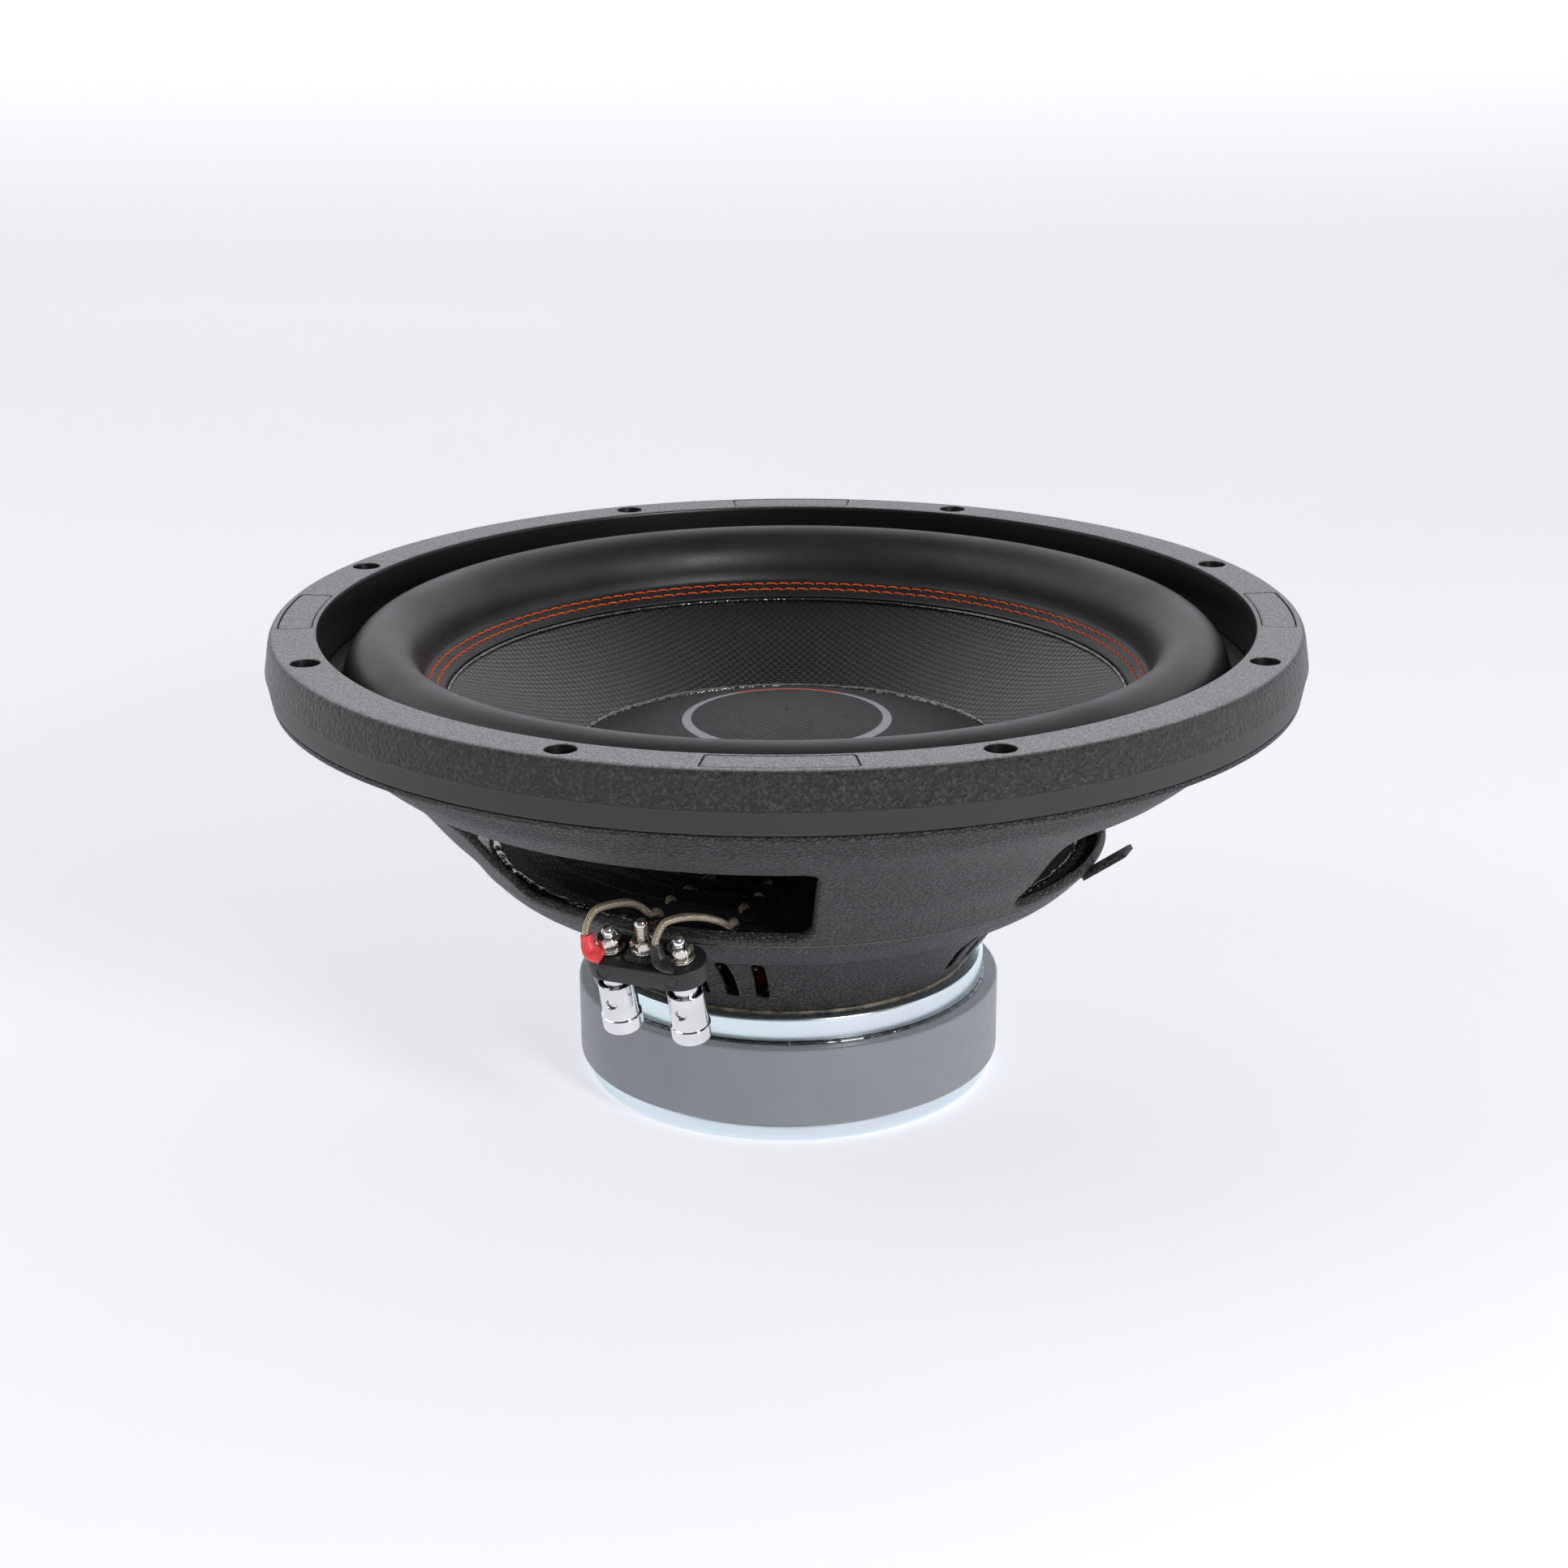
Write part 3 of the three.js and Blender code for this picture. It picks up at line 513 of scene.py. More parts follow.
class Skin:
    """A profile turned about Z as a fine grid, in which openings are cut along smooth outlines.

    A point is given by its azimuth in degrees and s, its distance along the profile in mm.
    """

    CUT_WIDTH = 0.38  # grid points nearer the outline than this part of a cell move onto it
    PROBE = 0.05  # step of the slopes, in mm

    def __init__(self, profile, step, count):
        self.profile = np.array(profile, float)
        length = np.hypot(*np.diff(self.profile, axis=0).T)
        self.s = np.concatenate([[0], np.cumsum(length)])
        spans = [np.linspace(a, b, max(1, math.ceil((b - a) / step)), endpoint=False)
                 for a, b in zip(self.s, self.s[1:])]
        columns = np.concatenate([*spans, [self.s[-1]]])
        self.step, self.count, self.width = step, count, len(columns)
        self.az, self.st = np.meshgrid(np.linspace(0, 360, count, endpoint=False), columns, indexing="ij")
        self.removed = np.zeros((count, self.width - 1), bool)
        self.total = self.az.size
        self.extra_vertices, self.extra_faces = [], []

    def rz(self, st):
        return np.interp(st, self.s, self.profile[:, 0]), np.interp(st, self.s, self.profile[:, 1])

    def at_height(self, z, first=0.0):
        """Where the profile reaches a height, from a first distance on."""
        inside = self.s >= first
        return float(np.interp(z, self.profile[inside, 1], self.s[inside]))

    def frame_at(self, az, st):
        """Place, direction round the axis, direction along the profile and normal."""
        r, z = self.rz(st)
        r2, z2 = self.rz(np.minimum(st + 0.3, self.s[-1]))
        r1, z1 = self.rz(np.maximum(st - 0.3, 0))
        dr, dz = r2 - r1, z2 - z1
        n = np.hypot(dr, dz) + 1e-9
        a = np.radians(az)
        upwards = np.array([0, 0, 1.0])
        out = np.stack([np.sin(a), -np.cos(a), np.zeros_like(a)], -1)
        around = np.stack([np.cos(a), np.sin(a), np.zeros_like(a)], -1)
        along = out * (dr / n)[..., None] + upwards * (dz / n)[..., None]
        return out * r[..., None] + upwards * z[..., None], around, along, np.cross(around, along)

    def cut(self, distance, middle, half_angle, rings, floor=False):
        """Cut an opening where distance(azimuth from the middle, s, r), in mm, is negative.

        rings are its wall's edge loops as (towards the inside, depth); floor closes the last one.
        """
        relative = half_turn_range(np.arange(self.count) * 360 / self.count - middle)
        index = np.where(np.abs(relative) < half_angle + 3)[0]
        index = index[np.argsort(relative[index])]

        def measure(az, st):
            return distance(half_turn_range(az - middle), st, self.rz(st)[0])

        def slope(az, st):
            per_degree = np.radians(1) * np.maximum(self.rz(st)[0], 1)
            d = self.PROBE
            turn = d / per_degree
            gu = (measure(az + turn, st) - measure(az - turn, st)) / (2 * d)
            gs = (measure(az, st + d) - measure(az, st - d)) / (2 * d)
            n = np.hypot(gu, gs) + 1e-9
            return gu / n, gs / n, per_degree

        az, st = self.az[index], self.st[index]
        az = middle + half_turn_range(az - middle)
        d = measure(az, st)
        cell = 0.5 * (np.radians(360 / self.count) * self.rz(st)[0] + self.step)

        def snap(mask):
            """Move grid points onto the outline."""
            for _ in range(2):
                now = measure(az, st)
                gu, gs, per_degree = slope(az, st)
                az[mask] -= (now * gu / per_degree)[mask]
                st[mask] -= (now * gs)[mask]

        def corner_states():
            corners = np.stack([state[:-1, :-1], state[1:, :-1], state[1:, 1:], state[:-1, 1:]])
            return corners.min(0), corners.max(0)

        # A point is inside (-1), on the outline (0) or outside (1).
        state = np.where(d < 0, -1, 1)
        near = np.abs(d) < self.CUT_WIDTH * cell
        snap(near)
        state[near] = 0
        least, most = corner_states()
        mixed = (most > 0) & (least < 0)
        move = np.zeros_like(near)
        for di, dj in ((0, 0), (1, 0), (1, 1), (0, 1)):
            move[di:move.shape[0] - 1 + di, dj:move.shape[1] - 1 + dj] |= mixed
        move &= state < 0
        snap(move)
        state[move] = 0
        self.az[index], self.st[index] = az, st
        least, most = corner_states()
        centre = measure((az[:-1, :-1] + az[1:, 1:]) / 2, (st[:-1, :-1] + st[1:, 1:]) / 2)
        gone = (most <= 0) & ((least < 0) | (centre < 0))
        grid = np.zeros_like(self.removed)
        grid[index[:-1]] = gone
        self.removed |= grid
        self.line(self.open_edges(grid), grid, slope, rings, floor)

    def vertex(self, i, j):
        return (i % self.count) * self.width + j

    def open_edges(self, grid):
        """Edges between the cells that are gone and those that stay."""
        edges = []
        for i, j in zip(*np.where(grid)):
            for (ni, nj), (a, b) in (
                (((i - 1) % self.count, j), ((i, j), (i, j + 1))),
                (((i + 1) % self.count, j), ((i + 1, j + 1), (i + 1, j))),
                ((i, j - 1), ((i + 1, j), (i, j))),
                ((i, j + 1), ((i, j + 1), (i + 1, j + 1))),
            ):
                if 0 <= nj < self.width - 1 and not grid[ni, nj]:
                    edges.append((self.vertex(*a), self.vertex(*b)))
        return edges

    def line(self, edges, grid, slope, rings, floor):
        """Add the loops of an opening's wall, and its floor."""
        border = sorted({v for e in edges for v in e})
        order = {v: k for k, v in enumerate(border)}
        bi, bj = np.divmod(np.array(border), self.width)
        az, st = self.az[bi, bj], self.st[bi, bj]
        place, around, along, normal = self.frame_at(az, st)
        gu, gs, _ = slope(az, st)
        inward = -(gu[:, None] * around + gs[:, None] * along)
        previous = np.array(border)
        for towards, depth in rings:
            self.extra_vertices.append(place + inward * towards - normal * depth)
            current = self.total + np.arange(len(border))
            self.total += len(border)
            for a, b in edges:
                ka, kb = order[a], order[b]
                self.extra_faces.append([previous[kb], previous[ka], current[ka], current[kb]])
            previous = current
        if not floor:
            return
        depth = rings[-1][1]
        known = {v: int(previous[k]) for v, k in order.items()}
        for i, j in zip(*np.where(grid)):
            face = []
            for v in (self.vertex(*q) for q in ((i, j), (i + 1, j), (i + 1, j + 1), (i, j + 1))):
                if v not in known:
                    vi, vj = divmod(v, self.width)
                    place, _, _, normal = self.frame_at(self.az[vi:vi + 1, vj], self.st[vi:vi + 1, vj])
                    self.extra_vertices.append(place - normal * depth)
                    known[v] = self.total
                    self.total += 1
                face.append(known[v])
            self.extra_faces.append(face)

    def mesh(self):
        place = self.frame_at(self.az, self.st)[0].reshape(-1, 3)
        m = self.width
        i, j = np.where(~self.removed)
        k = (i + 1) % self.count
        faces = np.stack([i * m + j, k * m + j, k * m + j + 1, i * m + j + 1], -1).tolist()
        faces += self.extra_faces
        vertices = np.concatenate([place, *self.extra_vertices])
        used = np.zeros(len(vertices), bool)
        used[[v for f in faces for v in f]] = True
        renumber = np.cumsum(used) - 1
        return vertices[used], [[renumber[v] for v in f] for f in faces]


# ---- basket ----
bolt_circle = 150.8
eighths = [22.5 + 45 * i for i in range(8)]  # azimuths of the mounting bolts


def basket():
    sill, lintel, crease = 79.9, 111.1, 64.2
    window_half, window_corner = 27.65, 6.5
    slot_pitch, slot_half, slot_corner = 8.2, 2.15, 1.6
    neck = curve([
        (58.3, foot + 0.6), (60.9, foot + 4), (64.1, foot + 7.4), (66.6, foot + 11),
        (69.4, foot + 14.8), (73.3, foot + 18.6), (77.2, foot + 22.2), (78.6, crease)], 4)
    bowl = curve([
        (79.4, crease + 0.4), (84.6, crease + 2.4), (91.4, crease + 6.4), (96, 74.6), (99.4, 78.4),
        (102.4, 82.4), (106, 86.6), (110, 90.8), (113.4, 94.8), (116.6, 98.8), (119.8, 102.6), (123.6, 106.4),
        (128.2, 110.2), (133.6, 114.3), (138.2, 118.4), (141.4, 122.6), (145, 126.4), (149.2, 129.2)], 3)
    rim = curve([
        (150.6, 130), (152.4, 130.6), (155, 130.6), (157.6, 130.65), (158.2, 131), (158.3, 132.3)], 3)
    skin = Skin([(41, foot), (56.2, foot), (57.4, foot + 0.15), *neck, *bowl, *rim], 0.9, 900)
    window_low, window_high = skin.at_height(sill, 60), skin.at_height(lintel, 60)
    slot_low, slot_high = skin.at_height(foot + 6.3, 18), skin.at_height(foot + 23.3, 18)

    def window(az, st, r):
        x = (np.abs(az) - window_half) * np.radians(1) * r
        y = np.abs(st - (window_low + window_high) / 2) - (window_high - window_low) / 2
        return round_corner(x, y, window_corner)

    def slot(az, st, r):
        return round_rect(np.radians(az) * r, st - (slot_low + slot_high) / 2, slot_half,
                          (slot_high - slot_low) / 2, slot_corner)

    def bolt(az, st, r):
        return np.hypot(np.radians(az) * bolt_circle, r - bolt_circle) - 2.9

    for middle in (-22.5, 67.5, 157.5, 247.5):
        skin.cut(window, middle, window_half, [(0.35, 0.12), (0.8, 0.55), (1.1, 1.3), (1.2, 2.4)])
        for i in range(5):
            skin.cut(slot, middle + (i - 2) * slot_pitch, 3, [(0.12, 0.15), (0.2, 0.6)])
    for angle in eighths:
        skin.cut(bolt, angle, 2, [(0.0, 0.4)])
    body = piece("basket_steel", skin.mesh(), "powder_coat", node="basket")
    solidify(body, steel)
    turned("basket_spider_ledge", slab(87.6, 99.2, 77.9, 79.3, [0.5, 0, 0, 0.5]), "resin", slot="powder_coat")
    turned("basket_flange_land", slab(139.4, 150, 130.9, 132.4, [0.4, 0, 0, 0.4]), "powder_coat")


basket()

# ---- gasket ----
pads = {0: "front", 90: "right", 180: "back", 270: "left"}
pad_circle, pad_half_length, pad_half_width, pad_gap = 150.6, 20.7, 5.4, 0.42
gasket_bore = 143.8


def gasket():
    g = gasket_top
    outer = [(158.3, gasket_bottom), (158.6, gasket_bottom + 0.3), (159.7, g - 11.2), (159.95, g - 10.7)]
    chamfer = [(159.85, g - 10.1), (159.3, g - 6.5), (158.8, g - 3.2), (158.4, g - 1.5), (158.0, g - 0.7),
               (157.3, g - 0.15), (156.6, g)]
    inner = [(144.6, g), (144.05, g - 0.2), (143.85, g - 0.8), (gasket_bore, g - 4),
             (gasket_bore, gasket_bottom + 0.4)]
    skin = Skin([*outer, *chamfer, *inner], 0.6, 1440)

    def off_top(st):
        """A large distance away from the flat top, so that openings stay on it."""
        return np.where(st < 17, 30, 0) + np.where(st > 34, 30, 0)

    def bolt(az, st, r):
        return np.hypot(np.radians(az) * bolt_circle, r - bolt_circle) + off_top(st) - 4.65

    def pocket(az, st, r):
        return off_top(st) + round_rect(np.radians(az) * pad_circle, r - pad_circle, pad_half_length,
                                        pad_half_width, 1.4)

    for angle in eighths:
        skin.cut(bolt, angle, 2.2, [(-0.0, 0.0), (0.25, 0.25), (0.35, 0.6), (0.35, 9), (0.35, 17.4)])
    for angle in pads:
        skin.cut(pocket, angle, 8.4, [(0.1, 0.2), (0.12, 1.3)], floor=True)
    piece("gasket_ring", skin.mesh(), "gasket_rubber", node="gasket", angle=40)
    sole = [(gasket_bore, gasket_bottom + 0.4), (gasket_bore + 0.1, gasket_bottom), (158.3, gasket_bottom)]
    turned("gasket_sole", sole, "gasket_rubber", closed=False)


def gasket_pads():
    """Plugs with a soft edge that lie flush in the pockets, a fine gap all round."""
    n, m = 84, 22
    corner = 1.2
    half_x, half_y = pad_half_length - pad_gap, pad_half_width - pad_gap
    x, y = np.meshgrid(np.linspace(-1, 1, n) * half_x, np.linspace(-1, 1, m) * half_y, indexing="ij")
    over_x = np.maximum(np.abs(x) - (half_x - corner), 0)
    over_y = np.maximum(np.abs(y) - (half_y - corner), 0)
    pull = np.maximum(np.hypot(over_x, over_y) / corner, 1)
    x = np.sign(x) * (np.minimum(np.abs(x), half_x - corner) + over_x / pull)
    y = np.sign(y) * (np.minimum(np.abs(y), half_y - corner) + over_y / pull)
    edge = round_rect(x, y, half_x, half_y, corner)
    z = gasket_top - 0.02 - 0.25 * np.exp(edge / 0.25)
    r = pad_circle + y
    upper = quads(n, m, close_sides=False, reverse=True)
    count = n * m
    faces = upper + [[k + count for k in q][::-1] for q in upper]
    grid = np.arange(count).reshape(n, m)
    loop = [*grid[:, 0], *grid[-1, 1:], *grid[-2::-1, -1], *grid[0, -2:0:-1]]
    faces += [[b, a, a + count, b + count] for a, b in zip(loop, loop[1:] + loop[:1])]
    for angle, side in pads.items():
        a = np.radians(angle) + x / pad_circle
        above = np.stack([r * np.sin(a), -r * np.cos(a), z], -1).reshape(-1, 3)
        below = above.copy()
        below[:, 2] = gasket_top - 1.25
        piece(f"gasket_pad_plug_{side}", (np.concatenate([above, below]), faces), "gasket_rubber",
              node=f"gasket_pad_{side}")


gasket()
gasket_pads()


# ---- surround, cone and cap ----
def radial_blend(obj):
    """Bake the piece's placement into its mesh and read out its vertex positions, which are not used further.
    """
    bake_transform(obj)
    co = np.empty(len(obj.data.vertices) * 3)
    obj.data.vertices.foreach_get("co", co)
    co = co.reshape(-1, 3)


def surround():
    roll_in, roll_out, thickness = 113.3, 136.7, 0.95
    mid, half = (roll_in + roll_out) / 2, (roll_out - roll_in) / 2
    base = top("basket") + 1.3
    height = gasket_top - 2.8 - base
    lip = [(143.4, base), (138.6, base), (137.6, base + 0.1), (137.0, base + 0.6)]
    arc = [(mid + half * math.cos(a), base + height * math.sin(a) ** 0.92)
           for a in np.linspace(0.12, math.pi - 0.05, 60)]
    band = [(113.0, cone_top(roll_in) + 1.8)]
    band += [(r, cone_top(r) + lift)
             for r, lift in ((112.5, 1.35), (111.6, 1.3), (107.0, 1.3), (106.4, 1.15), (106.2, 0.8))]
    path = np.array([*lip, *arc, *band])
    tangent = unit_tangents(path)
    under = path + np.stack([-tangent[:, 1], tangent[:, 0]], -1) * thickness
    obj = turned("surround_roll", [*path, *under[::-1]], "surround_rubber", count=384, body=None,
                 node="surround", angle=60)
    radial_blend(obj)


def cone():
    inner, edge = 33.2, cone_radius
    profile = [(inner, cone_top(inner) - 1.3),
               *[(r, cone_top(r) - 1.35) for r in np.linspace(40, edge - 0.4, 12)],
               (edge, cone_top(edge) - 0.9), (edge, cone_top(edge) - 0.3),
               *[(r, cone_top(r)) for r in np.linspace(edge - 0.6, 40, 12)], (inner, cone_top(inner))]
    turned("cone_shell", profile, "cone_weave", count=384, body="cone_assembly", node="cone")


def bead(name, radius, height, size, seed, look="resin", count=720, wobble=0.25, **more):
    """A hand-laid bead of glue, round and uneven."""
    noise = np.random.default_rng(seed)
    a = full_circle(count)

    def ripple(*orders):
        waves = [noise.uniform(0.3, 1) * np.sin(k * a + noise.uniform(0, 6.3)) for k in orders]
        return sum(waves) / 3

    sizes = size * (1 + ripple(7, 13, 23, 41, 67, 101) * wobble)
    radii = radius + ripple(3, 11, 29, 53) * wobble * 0.5
    b = full_circle(10)
    r = radii[:, None] + sizes[:, None] * np.cos(b)
    z = height + sizes[:, None] * np.sin(b) * 0.7
    vertices = np.stack([r * np.sin(a)[:, None], -r * np.cos(a)[:, None], z], -1).reshape(-1, 3)
    piece(name, (vertices, quads(count, len(b), close_rows=True, reverse=True)), look, **more)


def dust_cap():
    rim = reach("dust_cap")
    base = cone_top(rim) + 0.3
    rise = top("dust_cap") - base
    dome = [(r, base + 1.9 + (rise - 1.95) * (1 - (r / 62.5) ** 2.1)) for r in np.linspace(61.5, 0.5, 36)]
    edge = [(rim, base + 0.05), (rim - 0.3, base + 0.7), (rim - 1.5, base + 1.1), (64, base + 1.5),
            (62.8, base + 1.75), (62.2, base + 1.85)]
    on_cone = dict(body="cone_assembly", slot="cone_weave")
    turned("dust_cap_dome", [*edge, *dome], "cap_weave", closed=False, body="cone_assembly",
           node="dust_cap", angle=60)
    bead("dust_cap_bead", rim + 0.6, cone_top(rim + 0.6) + 0.8, 1.25, 3, wobble=0.3, **on_cone)
    bead("cone_edge_bead", 105.7, cone_top(105.7) + 0.3, 0.75, 5, count=900, wobble=0.12, **on_cone)


def stitches(name, radius, node, seed):
    """Lock stitches: each rises out of its needle hole, lies on the band and dips into the next."""
    noise = np.random.default_rng(seed)
    stitch_length, thickness = 4.3, 0.27
    count = round(TURN * radius / stitch_length)
    pitch = TURN / count
    shapes = []
    for i in range(count):
        a0 = (i + 0.04 + noise.uniform(-0.02, 0.02)) * pitch
        a1 = (i + 0.98 + noise.uniform(-0.02, 0.02)) * pitch
        lean = noise.uniform(-0.06, 0.06) + 0.28
        points, sizes = [], []
        for t in np.linspace(0, 1, 9):
            a = a0 + (a1 - a0) * t
            r = radius + lean * (t - 0.5)
            lift = 1.32 + 0.26 * math.sin(math.pi * t) ** 0.5 - 0.42 * (abs(2 * t - 1) ** 6)
            points.append((r * math.sin(a), -r * math.cos(a), cone_top(r) + lift))
            sizes.append(thickness * (0.72 + 0.28 * math.sin(math.pi * t) ** 0.4))
        shapes.append(tube(points, sizes, 8))
    piece(name, join(*shapes), "thread", body="cone_assembly", node=node, angle=60)


surround()
cone()
dust_cap()
stitches("stitch_row_outer", 111.2, "stitch_outer", 11)
stitches("stitch_row_inner", 108.7, "stitch_inner", 12)


# ---- spider and coil ----
def spider_height(r):
    """Middle of the cloth: five waves between the coil former and the ledge."""
    inner, outer, waves, depth = 35.5, 87.0, 5, 1.5
    t = np.clip((r - inner) / (outer - inner), 0, 1)
    wave = depth * np.sin(t * waves * TURN) * np.clip((1 - t) * 14, 0, 1) * np.clip(t * 14 + 0.15, 0, 1)
    return ledge_top + 1.3 + wave - np.clip((r - 84.5) / 3, 0, 1) * 0.75


def spider():
    radii = [*np.linspace(33.1, 87, 180), 89, 92, 94.4]
    upper = [(r, float(spider_height(r)) + 0.35) for r in radii]
    under = [(r, float(spider_height(r)) - 0.3) for r in radii]
    obj = turned("spider_cloth", [*under, *upper[::-1]], "spider_cloth", body=None, node="spider", angle=60)
    radial_blend(obj)
    bead("spider_glue_bead", 92.4, ledge_top + 0.9, 1.0, 21, wobble=0.5, slot="spider_cloth")


def coil():
    turned("coil_former_tube", slab(32, 32.6, low("coil_former"), top("coil_former"), [0.1] * 4, 2), "kapton",
           count=160, body="cone_assembly", node="coil_former")
    bottom, height = low("coil_winding"), top("coil_winding")
    wires, former = 28, 33
    winding = []
    for k in range(wires):
        middle = bottom + (height - bottom) * (k + 0.5) / wires
        winding += [(34.1 - 2.2 * b * b, middle + b * 0.9) for b in (-0.42, -0.2, 0, 0.2, 0.42)]
    turned("coil_turns", [(former, bottom), *winding, (former, height)], "copper", count=160,
           body="cone_assembly", node="coil_winding", angle=80)


spider()
coil()


# ---- motor ----
def motor_ring(name, node, bore, edge, look):
    section = slab(bore, reach(node), low(node), top(node), [0.3, edge, edge, 0.3])
    turned(name, section, look, count=320, node=node)


motor_ring("magnet_ring", "magnet", 39, 1.0, "ferrite")
motor_ring("top_plate_disc", "top_plate", 35, 1.1, "zinc")
pole_top = top("yoke")
yoke = [(13, 0), (62.4, 0), (63.7, 0.35), (64.7, 1.3), (65, 2.4), (65, 5.9), (64.6, 6.5), (31.6, 6.5),
        (31.1, 7.2), (31.1, pole_top - 0.6), (30.5, pole_top), (11.6, pole_top), (11, pole_top - 0.6),
        (11, 2.2)]
turned("back_plate_and_pole", yoke, "zinc", count=320, node="yoke")
bead("glue_line_top_plate", 62.9, low("top_plate") - 0.05, 0.55, 31, slot="ferrite")
bead("glue_line_foot", 58.0, foot - 0.05, 0.6, 33, look="glue_brown", wobble=0.3, slot="powder_coat")
bead("glue_line_back_plate", 64.7, low("magnet") - 0.1, 0.4, 35, slot="ferrite")


# ---- terminals ----
# Terminal pieces are worked out with the block's upper face near z = 0 and the posts along x.
terminal_place = (Matrix.Rotation(math.radians(-21.4), 4, "Z") @ Matrix.Translation((0, -107.6, 76.82))
                  @ Matrix.Rotation(math.radians(15), 4, "X"))
spare_place = (Matrix.Rotation(math.radians(68.6), 4, "Z") @ Matrix.Translation((0, -100.2, 76.9))
               @ Matrix.Rotation(math.radians(-36), 4, "X"))
block_bottom, block_top = -6.3, -0.3
collar_top = -6.6
post_x = 10.9


def placed(shape, place=terminal_place):
    vertices, faces = shape
    m = np.array(place)
    return np.asarray(vertices, float) @ m[:3, :3].T + m[:3, 3], faces


def shifted(shape, x):
    return shape[0] + np.array([x, 0, 0]), shape[1]


def lathe_at(x, profile, count=48, closed=True):
    return shifted(revolve(profile, count, closed), x)


def extrude(outline, z0, z1, edge=0.5, steps=3):
    """An outline of (x, y) raised from z0 to z1 with rounded edges; the outline runs anticlockwise."""
    p = np.array(outline, float)
    n = len(p)
    tangent = np.roll(p, -1, 0) - np.roll(p, 1, 0)
    tangent /= np.linalg.norm(tangent, axis=1)[:, None]
    outwards = np.stack([tangent[:, 1], -tangent[:, 0]], -1)
    levels = [(edge * (1 - math.sin(t)), z0 + edge * (1 - math.cos(t)))
              for t in np.linspace(0, 1, steps + 1) * math.pi / 2]
    levels += [(inset, z1 - (z - z0)) for inset, z in levels[::-1]]
    vertices = [np.column_stack([p - outwards * inset, np.full(n, z)]) for inset, z in levels]
    last = (len(levels) - 1) * n
    faces = quads(len(levels), n) + [list(range(n))[::-1], [last + i for i in range(n)]]
    return np.concatenate(vertices), faces


def hex_nut(x, bottom, height=3.1, flats=7.0, bore=2.1):
    """A hexagon whose corners are turned off at both ends."""
    n = 72
    corner = flats / math.sqrt(3)
    rows = []
    for z, limit in ((0, flats / 2), (0, flats / 2 * 1.02), (0.5, corner), (height - 0.6, corner),
                     (height, flats / 2 * 0.98), (height, bore + 0.4), (height - 0.4, bore), (0.1, bore)):
        for a in full_circle(n):
            side = (a % (math.pi / 3)) - math.pi / 6
            r = min(flats / 2 / math.cos(side), limit) if limit > bore + 0.5 else limit
            rows.append((x + r * math.sin(a), -r * math.cos(a), bottom + z))
    return np.array(rows), quads(len(rows) // n, n, close_rows=True)


def nut_on_washer(x, bottom, seat, radius):
    """A nut on a washer that lies between bottom and seat."""
    return join(hex_nut(x, seat), lathe_at(x, slab(2.2, radius, bottom, seat, [0.1] * 4, 2)))


def threaded(x, bottom, height, radius=2.0, pitch=0.7, tip=0.7):
    """A stud with a cut thread and a chamfered end."""
    profile = [(0.02, bottom), (radius, bottom)]
    z = bottom
    while z + pitch < height - tip:
        profile += [(radius, z + 0.12), (radius - 0.34, z + pitch / 2), (radius, z + pitch - 0.12)]
        z += pitch
    profile += [(radius - 0.1, height - tip), (radius - 0.6, height), (0.02, height)]
    return lathe_at(x, profile, 32, closed=False)


def terminal_block():
    half, radius = 10.6, 7.7
    outline = (arc_points(half, 0, radius, -math.pi / 2, math.pi / 2, 20)
               + arc_points(-half, 0, radius, math.pi / 2, 3 * math.pi / 2, 20))
    piece("terminal_block_body", placed(extrude(outline, block_bottom, block_top, 0.45)), "block_plastic",
          node="terminal_block", angle=30)
    rings = [tube([(px, -7.72, pz) for px, pz in arc_points(x, -3.3, 1.9)], 0.16, 6, caps=False)
             for x in (-half, half)]
    piece("terminal_block_marks", placed(join(*rings)), "block_plastic")


def tongue(length, root):
    """A flat tongue with its outer corners rounded."""
    half, corner = 5, 1.6
    y = -length + corner
    outline = [(-half, root), (-half, y)]
    outline += arc_points(-half + corner, y, corner, math.pi + 0.3, math.pi + 1.57, 6)
    outline += arc_points(half - corner, y, corner, -math.pi / 2, 1.3 - math.pi / 2, 6)
    outline += [(half, y), (half, root)]
    return extrude(outline, 0, steel, 0.25, 2)


def tongues():
    piece("tongue_under_block_nut", placed(tongue(5.1, 6)), "powder_coat")
    hole = tube([(*q, steel + 0.02) for q in arc_points(0, -9, 2.2)], 0.18, 6, caps=False)
    piece("tongue_spare", placed(join(tongue(14.6, 1.2), hole), spare_place), "powder_coat")


def sleeve_shape():
    """A barrel with a wire hole bored through both walls and a wider cap at its lower end."""
    bottom, height, cap = -27.4, -11.2, 5.9
    wall, bore, hole_z, hole_radius = 5.42, 4.8, -16.6, 1.9
    profile = rounded(
        [(0.05, bottom), (cap, bottom), (cap, bottom + 4.6), (wall, bottom + 4.9), (wall, height),
         (bore, height), (bore, bottom + 1.4), (0.05, bottom + 1.4)], [0, 0.9, 0.35, 0.15, 0.2, 0.15, 0, 0])
    skin = Skin(profile, 0.3, 180)
    for radius, rings in ((wall, [(0.05, 0.04), (0.1, 0.14), (0.1, wall - bore)]), (bore, [])):
        straight = np.where(np.abs(skin.profile[:, 0] - radius) < 0.01)[0]
        straight = straight[np.argsort(skin.profile[straight, 1])]
        middle = float(np.interp(hole_z, skin.profile[straight, 1], skin.s[straight]))

        def hole(az, st, r):
            return np.hypot(np.radians(az) * wall, st - middle) - hole_radius

        for facing in (0, 180):
            skin.cut(hole, facing, 24, rings)
    return skin.mesh()


